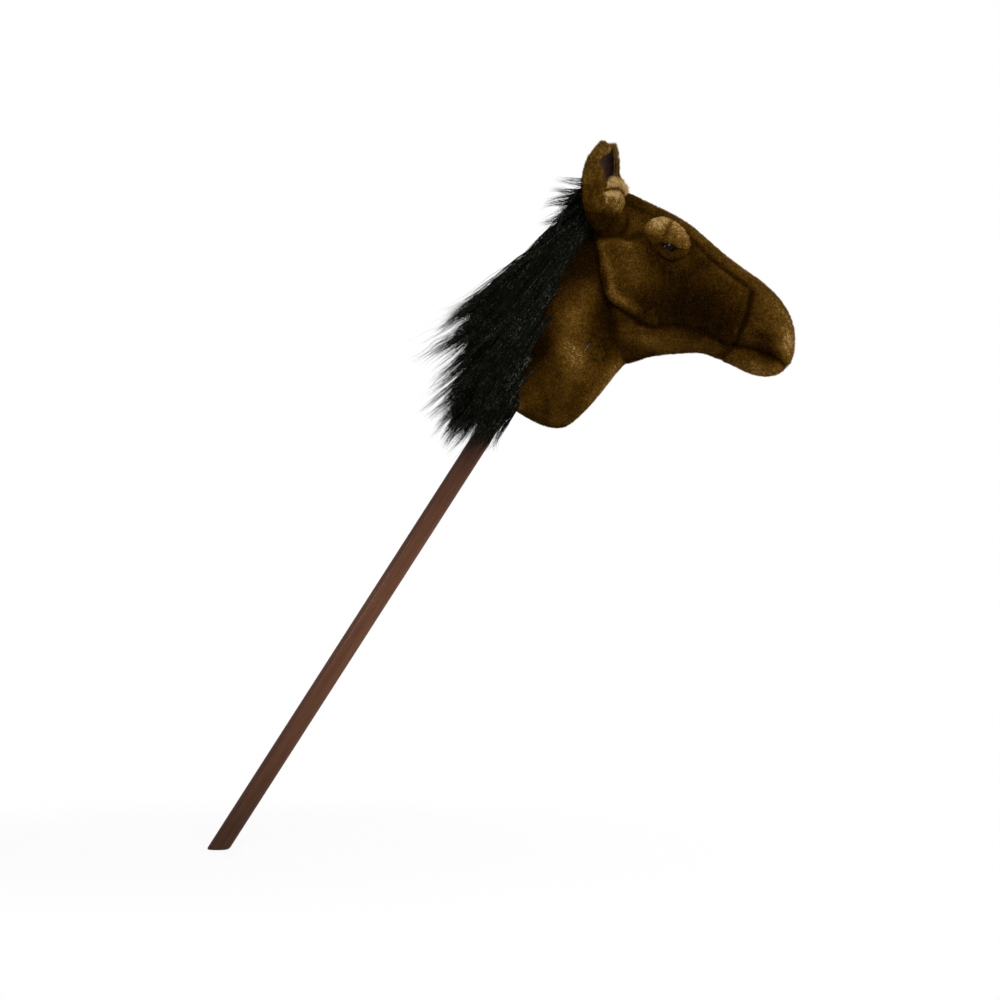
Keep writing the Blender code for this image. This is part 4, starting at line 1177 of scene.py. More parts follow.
def upper_lid(name, tree, way):
    """A stuffed pad over the eye, puckered where it is sewn down above it."""
    rim = closed_line(UPPER_LID, 72)
    rings = np.linspace(1, 0.06, 18)
    points = []
    for depth in (-2.0, 0.0):
        for share in (rings if depth == 0 else [1.0]):
            for edge in rim:
                x, z = LID_MIDDLE + (edge - LID_MIDDLE) * share
                spot, normal = on_skin(tree, x, z, way)
                turn = math.atan2(edge[1] - LID_MIDDLE[1], edge[0] - LID_MIDDLE[0])
                swell = LID_SWELL * (1 - share**3) ** 0.5
                pucker = LID_PUCKER * math.cos(15 * turn + 2 * share) * share * (1 - share) * 4
                fold_x = 35 + 9 * math.sin((77 - z) / 16)
                fold = math.exp(-((x - fold_x) / 2.6) ** 2) * max(0, min(1, (78 - z) / 9))
                fold *= LID_FOLD
                hood = LID_HOOD * math.exp(-((x - 51) / 12) ** 2 - ((z - 54) / 7) ** 2)
                height = depth if depth < 0 else swell + pucker + hood - fold * (1 - share**4)
                points.append(spot + normal * height)
    count = len(rim)
    rows = len(points) // count
    faces = tube_faces(rows, count)
    faces.append(tuple(range(count)))
    faces.append(tuple(range((rows - 1) * count, rows * count)))
    return subdivide(mesh_of(name, to_world(np.array(points), HEAD), faces))


def lower_lid(name, tree, way):
    line = []
    run = smooth_line(LOWER_LID, 1.2)
    for x, z in run:
        spot, normal = on_skin(tree, x, z, way)
        line.append(spot + normal * 1.6)
    share = np.linspace(0, 1, len(run))
    radii = 1.2 + 3.1 * np.sin(np.pi * np.clip(share, 0.02, 0.98)) ** 0.6
    return swept(name, line, radii, HEAD)


skin_tree = local_tree(head_skin, HEAD)
lids = {}
for side, way in (("left", 1), ("right", -1)):
    lids["upper_lid_" + side] = upper_lid(f"upper_lid_{side}_plush", skin_tree, way)
    lids["lower_lid_" + side] = lower_lid(f"lower_lid_{side}_plush", skin_tree, way)


# Mane

# the line that the hair is sewn on along the back of the neck, in the mouth's frame
CREST = [(-30, 12), (-41, 50), (-48, 95), (-55, 145), (-58, 195), (-55, 238), (-48, 268),
         (-34, 290)]


def crest_at(share):
    """The crest's place and height over the mouth, from the mouth (0) to the ears (1)."""
    line = np.array(CREST, float)
    return on_curve(np.linspace(0, 1, len(line)), line, np.array([share], float))[0]


# how the hair falls, by its root's share of the crest: its length and how far it stands away
HAIR_SHARES = (0.0, 0.2, 0.4, 0.58, 0.75, 0.88, 0.95, 1.0)
HAIR_LENGTHS = (100, 124, 152, 160, 130, 96, 76, 62)
HAIR_SPLAYS = (2, 13, 28, 18, 2, 9, 44, 72)
# how far round the neck the hair is sewn on, in degrees, by its height over the mouth
SEWN_HEIGHTS = (0, 60, 120, 240, 290)
SEWN_TURNS = (80, 72, 65, 65, 52)
HAIR_STEPS = 9
# the hair keeps this near to the middle, on either side
MANE_HALF_WIDTH = 75


def neck_ring(height):
    """The neck's middle, half depth and half width, at heights over the mouth."""
    rings = np.array(NECK_RINGS, float)
    low, high, half = (np.interp(np.clip(height, 4, 238), rings[:, 0], rings[:, i])
                       for i in (1, 2, 3))
    return (low + high) / 2, (high - low) / 2, half


def hair_line(share, fall, length=1.0, lift=6.0, splay=0.0, wander=(0.0, 0.0)):
    """Where a lock goes: out of the mane's strip, by fall (-1 to 1) round it, and down."""
    crest, height = crest_at(share)
    middle, deep, half = neck_ring(height)
    turn = math.radians(fall * np.interp(height, SEWN_HEIGHTS, SEWN_TURNS))
    shift = crest - (middle - deep)
    root = (middle + shift - deep * math.cos(turn) ** NECK_BOXINESS,
            half * math.copysign(abs(math.sin(turn)) ** NECK_BOXINESS, turn))
    part = np.linspace(0, 1, HAIR_STEPS)
    reach = length * np.interp(share, HAIR_SHARES, HAIR_LENGTHS)
    away = np.interp(share, HAIR_SHARES, HAIR_SPLAYS) * (1 - abs(fall) ** 1.5) + 2 + splay
    away = math.radians(away)
    along = reach * part
    out = lift * np.sin(np.pi * np.minimum(0.75, part * 1.3)) + along * math.sin(away)
    forwards = 0.115 * along * abs(fall) ** 3 * min(1, share * 3)
    x = root[0] - math.cos(turn) * out + forwards + wander[1] * part**2
    y = root[1] + math.sin(turn) * out + wander[0] * part**2
    z = height - along * math.cos(away)
    y = y * np.interp(z, (-80, 40), (0.6, 1))  # the hair closes in below the neck
    middle, deep, half = neck_ring(z)
    power = 2 / NECK_BOXINESS
    inside = (np.abs(x - middle) / deep) ** power + (np.abs(y) / half) ** power
    clear = np.interp(part, (0, 0.3), (0.92, 1.09))
    push = np.maximum(np.where(part > 0, 0, 0.92), clear / inside ** (NECK_BOXINESS / 2))
    push = np.where(part > 0, np.maximum(1, push), push)
    push = np.where((z > 2) & (z < 238), push, 1)
    y = np.clip(y * push, -MANE_HALF_WIDTH, MANE_HALF_WIDTH)
    return np.stack([middle + (x - middle) * push, y, z], axis=1)


# of the dark mass: how thick a lock is at its root and along it, and how finely they melt
LOCK_RADIUS = 4.6
LOCK_TAPER = np.array([1.0, 1.1, 1.15, 1.1, 1.0, 0.9, 0.75, 0.55, 0.3])
MANE_MELT = 2.6


def mane_body():
    """The dark mass under the hair: fat locks melted into one."""
    shape = bmesh.new()
    for share in np.linspace(0.04, 0.97, 13):
        for fall in (-0.56, -0.38, -0.19, 0, 0.19, 0.38, 0.56):
            line = hair_line(share, fall, 0.72 - 0.34 * abs(fall), 1.0, -5.0)
            lock = swept("lock", line, LOCK_RADIUS * LOCK_TAPER, MOUTH, 10)
            shape.from_mesh(lock.data)
            remove(lock)
    mesh = bpy.data.meshes.new("mane_body")
    shape.to_mesh(mesh)
    shape.free()
    thing = linked("mane_body", mesh)
    melt = thing.modifiers.new("melt", "REMESH")
    melt.mode = "VOXEL"
    melt.voxel_size = MANE_MELT * MM
    modified(thing)
    soften = thing.modifiers.new("soften", "SMOOTH")
    soften.iterations = 6
    return modified(thing)


def hair_guides(name, count, seed, low_fall, high_fall, twigs=3, wild=1.0, lifts=(2.0, 8.0)):
    """Guide lines for hair, as a mesh of edges that says how wide each tuft spreads.

    Each lock has some twigs, which start apart and gather at its tip."""
    draw = np.random.default_rng(seed)
    points, edges, spreads = [], [], []
    gather = np.linspace(1, 0, HAIR_STEPS)[:, None] ** 0.8
    for number in range(count):
        share = ((number + draw.random()) / count) ** 1.3
        spot = draw.random()
        if low_fall > 0:
            spot = 1 - (1 - spot) ** 1.5
        elif high_fall < 0:
            spot = spot ** 1.5
        fall = low_fall + (high_fall - low_fall) * spot
        length = 0.70 + 0.42 * draw.random()
        lift = lifts[0] + (lifts[1] - lifts[0]) * draw.random() ** 1.3 * (1 - 0.45 * abs(fall))
        splay = draw.normal() * 3.8 * wild
        wander = (draw.normal() * 3.0 * wild, draw.normal() * 4.5 * wild)
        lock = hair_line(share, fall, length, lift, splay, wander)
        for _ in range(twigs):
            aside = draw.normal(size=3) * (4.6, 4.6, 6.0)
            astray = draw.normal(size=3) * (2.4, 2.4, 6.0) * wild
            line = lock + aside * gather + astray * (1 - gather)
            first = len(points)
            points.extend(line)
            edges.extend((first + i, first + i + 1) for i in range(HAIR_STEPS - 1))
            spreads.extend([2.6 + 2.8 * draw.random()] * HAIR_STEPS)
    mesh = bpy.data.meshes.new(name)
    mesh.from_pydata([tuple(p) for p in to_world(np.array(points), MOUTH)], edges, [])
    thing = linked(name, mesh)
    note(thing, "spread", spreads)
    return thing


mane_core = mane_body()


# The pile and the hair, which Geometry Nodes repeat

class Growth(Tree):
    """A modifier's tree, with named inputs and a result."""

    def __init__(self, name, **inputs):
        super().__init__(bpy.data.node_groups.new(name, "GeometryNodeTree"))
        face = self.tree.interface
        face.new_socket("Geometry", in_out="INPUT", socket_type="NodeSocketGeometry")
        face.new_socket("Geometry", in_out="OUTPUT", socket_type="NodeSocketGeometry")
        self.ids = {}
        for label, kind in inputs.items():
            entry = face.new_socket(label, in_out="INPUT", socket_type="NodeSocket" + kind)
            self.ids[label] = entry.identifier
        self.entry = self.tree.nodes.new("NodeGroupInput")
        self.exit = self.tree.nodes.new("NodeGroupOutput")

    def given(self, label):
        return Wire(self, self.entry.outputs[label])

    def value(self, name, kind="FLOAT"):
        return self.node("GeometryNodeInputNamedAttribute", {"data_type": kind}, name)

    def keep(self, geometry, name, value, kind="FLOAT"):
        settings = {"data_type": kind, "domain": "POINT"}
        return self.node("GeometryNodeStoreNamedAttribute", settings, Geometry=geometry,
                         Name=name, Value=value)

    def chance(self, low, high, seed, kind="FLOAT", label=None):
        return self.node("FunctionNodeRandomValue", {"data_type": kind}, Min=low, Max=high,
                         Seed=seed, ID=label)

    def finish(self, geometry):
        coloured = self.node("GeometryNodeSetMaterial", {}, Geometry=geometry,
                             Material=self.given("Material"))
        self.tree.links.new(coloured.socket, self.exit.inputs[0])

    def grow(self, ground, name, **values):
        """What grows on a ground, as a plain mesh of its own."""
        ground.name = name + "_ground"
        step = ground.modifiers.new("growth", "NODES")
        step.node_group = self.tree
        for label, value in values.items():
            step[self.ids[label]] = value
        mesh = bpy.data.meshes.new_from_object(evaluated(ground))
        ground.modifiers.clear()
        mesh.name = name
        return linked(name, mesh)


def plant_pile():
    """Spikes of pile: they stand on the plush, lean with its nap and vary at random."""
    tree = Growth("pile", Density="Float", Length="Float", Width="Float", Lean="Float",
                  Seed="Int", Material="Material")
    seed = tree.given("Seed")
    spots = tree.node("GeometryNodeDistributePointsOnFaces", {}, out=None)
    tree.feed(spots.inputs["Mesh"], tree.given("Geometry"))
    entry = next(s for s in spots.inputs if s.name == "Density" and s.enabled)
    tree.feed(entry, tree.given("Density") * tree.value("pile"))
    tree.feed(spots.inputs["Seed"], seed)
    normal = Wire(tree, spots.outputs["Normal"])
    points = Wire(tree, spots.outputs["Points"])
    place = tree.node("GeometryNodeInputPosition", {})
    strand = tree.chance(0.0, 1.0, seed)
    points = tree.keep(points, "root", place, "FLOAT_VECTOR")
    points = tree.keep(points, "strand", strand)
    points = tree.keep(points, "facing", normal, "FLOAT_VECTOR")
    facing = tree.value("facing", "FLOAT_VECTOR")
    stray = tree.chance((-1, -1, -1), (1, 1, 1), seed + 7, "FLOAT_VECTOR")
    lean = tree.given("Lean") * tree.value("comb", "FLOAT_VECTOR")
    waves = tree.node("ShaderNodeTexNoise", {}, Vector=tree.value("root", "FLOAT_VECTOR"),
                      Scale=170.0, Detail=2.0, out="Color")
    clump = tree.node("ShaderNodeVectorMath", {"operation": "SUBTRACT"}, waves, (0.5, 0.5, 0.5))
    points = tree.keep(points, "clump", clump, "FLOAT_VECTOR")
    clump = tree.value("clump", "FLOAT_VECTOR")
    upright = tree.node("FunctionNodeAlignRotationToVector", {"axis": "Z"},
                        Vector=facing + lean + clump * 2.2 + stray * 0.35)
    spike = tree.node("GeometryNodeMeshCone", {"fill_type": "NGON"}, Vertices=3, Side_Segments=1,
                      Fill_Segments=1, Radius_Top=0.0, Radius_Bottom=1.0, Depth=1.0)
    height = tree.node("ShaderNodeSeparateXYZ", {}, place, out="Z")
    spike = tree.keep(spike, "tip", height)
    girth = tree.given("Width") * tree.chance(0.7, 1.3, seed + 3)
    reach = tree.given("Length") * tree.chance(0.65, 1.2, seed + 5) * tree.value("long")
    size = tree.node("ShaderNodeCombineXYZ", {}, girth, girth, reach)
    spikes = tree.node("GeometryNodeInstanceOnPoints", {}, Points=points, Instance=spike,
                       Rotation=upright, Scale=size)
    mesh = tree.node("GeometryNodeRealizeInstances", {}, Geometry=spikes)
    ruffle = tree.chance((-1, -1, -1), (1, 1, 1), seed + 11, "FLOAT_VECTOR")
    shading = (tree.value("facing", "FLOAT_VECTOR") + ruffle * 0.25
               + tree.value("clump", "FLOAT_VECTOR") * 1.7)
    mesh = tree.node("GeometryNodeSetMeshNormal", {"mode": "FREE", "domain": "POINT"}, Mesh=mesh,
                     Custom_Normal=tree.node("ShaderNodeVectorMath", {"operation": "NORMALIZE"},
                                             shading))
    tree.finish(mesh)
    return tree


def plant_hair():
    """Strands round each guide: spread out at the middle, gathered at the tip, and uneven."""
    tree = Growth("hair", Strands="Int", Spread="Float", Thickness="Float", Seed="Int",
                  Material="Material")
    seed = tree.given("Seed")
    guides = tree.node("GeometryNodeMeshToCurve", {}, Mesh=tree.given("Geometry"))
    copies = tree.node("GeometryNodeDuplicateElements", {"domain": "SPLINE"}, Geometry=guides,
                       Amount=tree.given("Strands"))
    part = tree.node("GeometryNodeSplineParameter", {}, out="Factor")
    number = tree.node("GeometryNodeInputIndex", {})

    def each(value, kind="FLOAT"):
        return tree.node("GeometryNodeFieldOnDomain", {"data_type": kind, "domain": "CURVE"}, value)

    place = tree.node("GeometryNodeInputPosition", {})
    aside = each(tree.chance((-1, -1, -1), (1, 1, 1), seed, "FLOAT_VECTOR", number),
                 "FLOAT_VECTOR")
    open_share = (0.3 + 1.9 * part * (1 - part) + 0.25 * part)
    spread = tree.given("Spread") * tree.value("spread") * open_share
    waves = tree.node("ShaderNodeTexNoise", {}, Vector=place + aside * 0.01, Scale=38.0,
                      Detail=1.0, out="Color")
    wave = (tree.node("ShaderNodeVectorMath", {"operation": "SUBTRACT"}, waves, (0.5, 0.5, 0.5))
            * (0.016 * part))
    moved = tree.node("GeometryNodeSetPosition", {}, Geometry=copies, Offset=aside * spread + wave)
    end = each(tree.chance(0.72, 1.0, seed + 3, "FLOAT", number))
    trimmed = tree.node("GeometryNodeTrimCurve", {"mode": "FACTOR"}, Curve=moved, End=end)
    strand = each(tree.chance(0.0, 1.0, seed + 5, "FLOAT", number))
    girth = tree.given("Thickness") * (0.6 + 0.8 * strand) * (1.05 - part ** 1.6)
    painted_light_and_shade = tree.node("GeometryNodeSetCurveRadius", {}, Curve=trimmed, Radius=girth)
    marked = tree.keep(painted_light_and_shade, "strand", strand)
    marked = tree.keep(marked, "tip", part)
    marked = tree.keep(marked, "root", place, "FLOAT_VECTOR")
    round_profile = tree.node("GeometryNodeCurvePrimitiveCircle", {}, Resolution=3, Radius=1.0)
    mesh = tree.node("GeometryNodeCurveToMesh", {}, Curve=marked, Profile_Curve=round_profile,
                     Scale=girth, Fill_Caps=True)
    tree.finish(tree.node("GeometryNodeRealizeInstances", {}, Geometry=mesh))
    return tree


# the maps for baking are unrolled round a line this high in a frame, this far along it each way
MAP_MIDDLE = 20
EAR_MAP_MIDDLE = 80
MAP_HALF = 300
HAIR_MAP_HALF = 400


def lay_flat(thing, place, middle, half):
    """A map for baking that lays each spike at its root, unrolled round the form."""
    mesh = thing.data
    roots = to_local(read(mesh.attributes["root"].data, "vector", 3), place)
    tips = noted(thing, "tip")
    turn = np.arctan2(roots[:, 1], roots[:, 2] - middle) / (2 * math.pi) + 0.5
    along = 0.5 + roots[:, 0] / (2 * half)
    flat = np.stack([turn + 0.0012 * tips, along + 0.0012 * (np.arange(len(tips)) % 3 - 1)], axis=1)
    corners = np.empty(len(mesh.loops), np.int32)
    mesh.loops.foreach_get("vertex_index", corners)
    layer = mesh.uv_layers.new(name="OFBake")
    layer.data.foreach_set("uv", np.clip(flat, 0.001, 0.999)[corners].astype(np.float32).ravel())
    for name in ("root", "facing", "clump", "comb", "pile", "long", "outside"):
        kept = mesh.attributes.get(name)
        if kept is not None:
            mesh.attributes.remove(kept)


PILE = plant_pile()
HAIR = plant_hair()
PILE_DENSITY = 1.2e6


# Finishes

def plush_finish(name, pile=False):
    """Short pile: as golden as its piece says, with painted shade in creases and at its root, and
    mottled, partly as painted sheen of the nap.
    """
    finish = Finish(name, Roughness=0.9, Specular_IOR_Level=0.0, Sheen_Weight=0.24 if pile else 0.1,
                    Sheen_Roughness=0.35, Sheen_Tint=shown(224, 168, 76))
    patch = finish.noise(finish.place, 30, 2.5, 0.55).between(0.36, 0.66)
    nap = finish.noise(finish.place, 210, 2.0, 0.6).between(0.3, 0.7)
    grain = finish.noise(finish.place, 480, 1.0, 0.6).between(0.3, 0.7)
    even = finish.attribute("gold_and_painted_light").between(0.78, 0.95)
    # the mottle is partly the plush's own uneven tone and partly painted sheen: the light and dark
    # patches that the nap's direction gives
    mottle_and_sheen = 0.16 * (patch - 0.5) + 0.16 * (nap - 0.5) + 0.26 * (grain - 0.5)
    tone = finish.attribute("gold_and_painted_light") + (1 - 0.45 * even) * mottle_and_sheen
    # painted shade in creases and along the join of head and neck
    tone = tone * (1 - 0.8 * finish.attribute("crease_shade"))
    ramp = finish.node("ShaderNodeValToRGB", {}, tone, out=None)
    stops = ramp.color_ramp.elements
    stops[0].color = shown(19, 9, 1)
    stops[1].color = shown(186, 158, 106)
    for place, colour in ((0.22, (40, 23, 2)), (0.5, (72, 48, 9)), (0.75, (104, 75, 26)),
                          (0.9, (137, 102, 46))):
        stops.new(place).color = shown(*colour)
    colour = Wire(finish, ramp.outputs[0])
    if pile:
        tip = finish.attribute("tip")
        strand = finish.attribute("strand")
        # painted shade: each spike is painted darker towards its root, where the pile would shade itself
        light = (0.5 + 0.8 * tip) * (0.6 + 0.6 * strand + 0.35 * grain)
        colour = colour * (light * (1 - 0.4 * even) + 0.4 * even)
        finish.set(Base_Color=colour)
    else:
        finish.set(Base_Color=colour * 0.9)
        finish.bump(grain + 0.5 * nap, 0.5, 0.0008)
    return finish.material


PLUSH = plush_finish("plush")
PLUSH_PILE = plush_finish("plush_pile", True)


def give(thing, material):
    thing.data.materials.clear()
    thing.data.materials.append(material)
    for face in thing.data.polygons:
        face.material_index = 0


def varnished_wood():
    finish = Finish("varnished_wood", Coat_Roughness=0.1, Coat_Weight=0.2, Specular_IOR_Level=0.0)
    grain_space = finish.stretched((1, 1, 0.035), (0, -POLE_LEAN, 0))
    pores = finish.noise(grain_space, 900, 3.0, 0.65)
    bands = finish.noise(grain_space, 160, 2.0, 0.5)
    tone = (0.6 * pores + 0.5 * bands).between(0.35, 0.8)
    # painted light and shade: the pole is painted lighter in its middle and darker towards both ends
    height = finish.node("ShaderNodeSeparateXYZ", {}, finish.place, out="Z")
    away = (height - 0.27) / 0.24
    painted_light_and_shade = 0.54 + 0.6 * (1 - away * away).math("MAXIMUM", 0.0)
    colour = finish.mix(tone, shown(98, 63, 43), shown(76, 46, 31)) * painted_light_and_shade
    finish.set(Base_Color=colour, Roughness=0.32 + 0.18 * pores)
    finish.bump(pores, 0.25, 0.0003)
    return finish.material


def plastic(name, colour, roughness):
    finish = Finish(name, Specular_IOR_Level=0.5)
    fine = finish.noise(finish.place, 900, 2.0)
    wide = finish.noise(finish.place, 75, 2.0)
    finish.set(Base_Color=finish.mix(0.25 * wide, shown(*colour), shown(*(c * 0.6 for c in colour))),
               Roughness=roughness + 0.15 * (fine - 0.5))
    finish.bump(fine, 0.15, 0.0002)
    return finish.material


def steel(name, colour, roughness):
    finish = Finish(name, Metallic=1.0)
    fine = finish.noise(finish.place, 2500, 2.0)
    wide = finish.noise(finish.place, 240, 3.0)
    finish.set(Base_Color=finish.mix(0.4 * wide, shown(*colour), shown(*(c * 0.7 for c in colour))),
               Roughness=roughness + 0.2 * (fine - 0.5))
    finish.bump(fine, 0.1, 0.0001)
    return finish.material


def woven(name, light, dark, threads):
    """Plain weave, from two crossed waves on the piece's own place."""
    finish = Finish(name, Specular_IOR_Level=0.2, Sheen_Weight=0.2, Roughness=0.9)
    along = finish.stretched((1, 1, 1), (0, -POLE_LEAN, 0))
    warp, weft = (finish.node("ShaderNodeTexWave", {"bands_direction": way}, Vector=along,
                              Scale=threads, Distortion=0.6, Detail=1.0) for way in "XY")
    over = 0.5 * (warp.math("MAXIMUM", weft) + warp * weft)
    blotch = finish.noise(finish.place, 60, 3.0)
    tone = 0.7 * over + 0.5 * (blotch - 0.5)
    finish.set(Base_Color=finish.mix(tone, shown(*dark), shown(*light)))
    finish.bump(over, 0.4, 0.0003)
    return finish.material


def wadding():
    finish = Finish("wadding", Roughness=0.95, Specular_IOR_Level=0.1)
    tuft = finish.noise(finish.place, 140, 5.0, 0.7)
    finish.set(Base_Color=finish.mix(tuft, shown(200, 198, 190), shown(236, 235, 230)))
    finish.bump(tuft, 0.7, 0.002)
    return finish.material


def eye_gloss():
    finish = Finish("eye_gloss", Specular_IOR_Level=0.07)
    depth = finish.noise(finish.place, 200, 2.0)
    finish.set(Base_Color=finish.mix(depth, shown(2, 1, 1), shown(7, 4, 2)),
               Roughness=0.06 + 0.03 * depth)
    return finish.material


def mane_finish(name, pile=False):
    """Black hair, with painted highlights: single strands and short glints along them are painted
    lighter than the rest, more so in broad lit patches.
    """
    finish = Finish(name, Specular_IOR_Level=0.0, Roughness=0.6)
    wide = finish.noise(finish.place, 60, 2.0)
    if pile:
        strand = finish.attribute("strand")
        # painted glints: short lighter flecks along the lighter strands
        painted_glint = finish.noise(finish.stretched((1, 1, 0.45), (0, -POLE_LEAN, 0)), 620, 1.0, 0.7)
        lit = 0.3 + 1.1 * wide.between(0.3, 0.7)
        tone = (strand ** 3) * painted_glint.between(0.46, 0.74) * lit + 0.04
    else:
        tone = 0.1 * wide
        strands = finish.stretched((1, 1, 0.12), (0, -POLE_LEAN, 0))
        finish.bump(finish.noise(strands, 300, 2.0), 0.8, 0.002)
    # the lighter colour is the one the painted highlights reach
    finish.set(Base_Color=finish.mix(tone, shown(1, 2, 1), shown(104, 106, 90)))
    return finish.material


def ear_satin():
    finish = Finish("ear_satin", Specular_IOR_Level=0.1, Sheen_Weight=0.1)
    wrinkle = finish.noise(finish.stretched((1, 1, 0.4)), 160, 2.0)
    thread = finish.noise(finish.place, 2200, 1.0)
    finish.set(Base_Color=finish.mix(wrinkle, shown(56, 40, 31), shown(86, 64, 52)),
               Roughness=0.6 + 0.2 * (thread - 0.5))
    finish.bump(wrinkle + 0.2 * thread, 0.4, 0.0008)
    return finish.material


# Every piece on its body, in place of its solid

def place_piece(thing, material, slot, *nodes, fill=None, body="horse"):
    give(thing, material)
    thing.data.shade_smooth()
    thing.data.set_sharp_from_angle(angle=math.radians(50))
    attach(thing, body)
    if nodes:
        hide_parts(*nodes)


SLOTS = {"forehead_strip": "brown_plush", "face": "brown_plush", "cheek": "gold_plush",
         "jaw_strip": "gold_plush", "muzzle": "gold_plush", "chin": "tan_plush",
         "neck_cover": "gold_plush"}


def slot_of(name):
    return next(slot for start, slot in SLOTS.items() if name.startswith(start))


def nap(ground, place, flow, swirl):
    """Which way the pile leans at each point, with slow turns in it; it grows everywhere unless
    the ground says otherwise."""
    points = to_local(points_of(ground), place) / 34
    turn = swirl * (np.sin(1.7 * points[:, 0] + 2.1 * np.sin(points[:, 2]) + points[:, 1])
                    + np.sin(1.3 * points[:, 2] + 0.9 * points[:, 1] - points[:, 0]))
    x, z = flow
    lean = np.stack([x * np.cos(turn) - z * np.sin(turn), 0.3 * np.sin(2 * points[:, 1]),
                     x * np.sin(turn) + z * np.cos(turn)], axis=1)
    comb = ground.data.attributes.new("comb", "FLOAT_VECTOR", "POINT")
    comb.data.foreach_set("vector", directions_to_world(lean, place).astype(np.float32).ravel())
    note(ground, "long", np.ones(len(points)))
    if "pile" not in ground.data.attributes:
        note(ground, "pile", np.ones(len(points)))


# the pile's length and width in millimetres, and how far it leans
PILE_LENGTH = 3.0
LID_PILE_LENGTH = 2.2
PILE_WIDTH = 0.32
PILE_LEAN = 0.7


def grow_pile(ground, name, place, seed, length=PILE_LENGTH, middle=MAP_MIDDLE):
    """The pile on a ground; it throws no shadow, so that the plush isn't darkened by it."""
    pile = PILE.grow(ground, name, Density=PILE_DENSITY, Length=length * MM,
                     Width=PILE_WIDTH * MM, Lean=PILE_LEAN, Seed=seed, Material=PLUSH_PILE)
    lay_flat(pile, place, middle, MAP_HALF)
    remove(ground)
    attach(pile, "horse")
    pile.visible_shadow = False


def bare_spots(ground, place):
    """No pile where the skin is inside another piece, or under a lid or an eye."""
    points = to_local(points_of(ground), place)
    free = np.ones(len(points))
    if "outside" in ground.data.attributes:
        free *= noted(ground, "outside") > -1.0
    if place is HEAD:
        side = points[:, [0, 2]]
        free *= ~inside_outline(side, [(x * 0.96 + 1.7, z * 0.96 + 2.8) for x, z in UPPER_LID])
        free *= np.hypot(side[:, 0] - 51, side[:, 1] - 52) > 8.5
    return free


SEED = 11
for number, (name, (panel, ground)) in enumerate(panels.items()):
    place_piece(panel, PLUSH, slot_of(name), name, fill=0.85)
    place, flow = (MOUTH, (0.25, -1.0)) if name.startswith("neck") else (HEAD, (-0.85, -0.5))
    note(ground, "pile", bare_spots(ground, place))
    nap(ground, place, flow, 0.45)
    grow_pile(ground, name + "_pile", place, SEED + number)

note(press_spot, "gold_and_painted_light", np.full(len(press_spot.data.vertices), 0.5))
place_piece(press_spot, PLUSH, "gold_plush", fill=0.6, body="sound_button")
place_piece(head_filling, wadding(), "wadding", "head_stuffing", fill=0.9)
place_piece(neck_filling, head_filling.data.materials[0], "wadding", "neck_stuffing", fill=0.9)
place_piece(base_cloth, woven("base_cloth", (170, 156, 130), (104, 92, 72), 320), "base_cloth",
            "neck_base_panel")

for side, (shell, lining, place) in ears.items():
    grows, tuft = ear_tones(shell, place)
    ground = copy_of(shell, "ear_ground")
    note(ground, "pile", grows)
    nap(ground, place, (0.1, 1.0), 0.3)
    note(ground, "long", 1 + 1.2 * tuft)
    place_piece(shell, PLUSH, "tan_plush", f"ear_{side}", fill=0.4)
    place_piece(lining, ear_satin(), "ear_satin", f"ear_lining_{side}", fill=0.2)
    grow_pile(ground, f"ear_{side}_pile", HEAD, SEED + 20 + len(side),
              middle=EAR_MAP_MIDDLE)

for number, (name, lid) in enumerate(lids.items()):
    upper = name.startswith("upper")
    points = to_local(points_of(lid), HEAD)
    note(lid, "crease_shade", np.zeros(len(points)))
    lit = 0.82 + 0.012 * (points[:, 2] - 68) - 0.34 * bell(points, 27, 51, 10, 6)
    lit += 0.16 * bell(points, 27, 68, 9, 8) - 0.2 * np.exp(-((points[:, 0] - 41) / 3) ** 2)
    note(lid, "gold_and_painted_light", np.clip(lit, 0.5, 1.1) if upper else np.full(len(points), 0.36))
    slot = "tan_plush" if upper else "brown_plush"
    ground = copy_of(lid, "lid_ground")
    nap(ground, HEAD, (-0.6, -0.6), 0.3)
    place_piece(lid, PLUSH, slot, name, fill=0.8)
    grow_pile(ground, name + "_pile", HEAD, SEED + 40 + number, LID_PILE_LENGTH)

place_piece(mane_core, mane_finish("mane_body"), "mane_hair", "mane", "mane_backing", fill=0.5)
MANE = mane_finish("mane_hair", True)
MANE_LOCKS = 72
WISPS = 130
STRANDS = 17


def grow_hair(name, guides, strands, spread, thickness, seed):
    hair = HAIR.grow(guides, name, Strands=strands, Spread=spread * MM, Thickness=thickness * MM,
                     Seed=seed, Material=MANE)
    remove(guides)
    lay_flat(hair, MOUTH, MAP_MIDDLE, HAIR_MAP_HALF)
    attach(hair, "horse")


for number, (side, low, high) in enumerate((
        ("left", 0.28, 1.0), ("middle", -0.34, 0.34), ("right", -1.0, -0.28))):
    guides = hair_guides(f"mane_{side}_guides", MANE_LOCKS, 70 + number, low, high)
    grow_hair("mane_" + side, guides, STRANDS, 0.94, 0.42, 90 + number)
wisps = hair_guides("wisp_guides", WISPS, 77, -1.0, 1.0, twigs=1, wild=2.0, lifts=(6.0, 20.0))
grow_hair("mane_wisps", wisps, 4, 1.6, 0.26, 99)
remove(head_skin, head_plain, neck_skin, neck_plain)

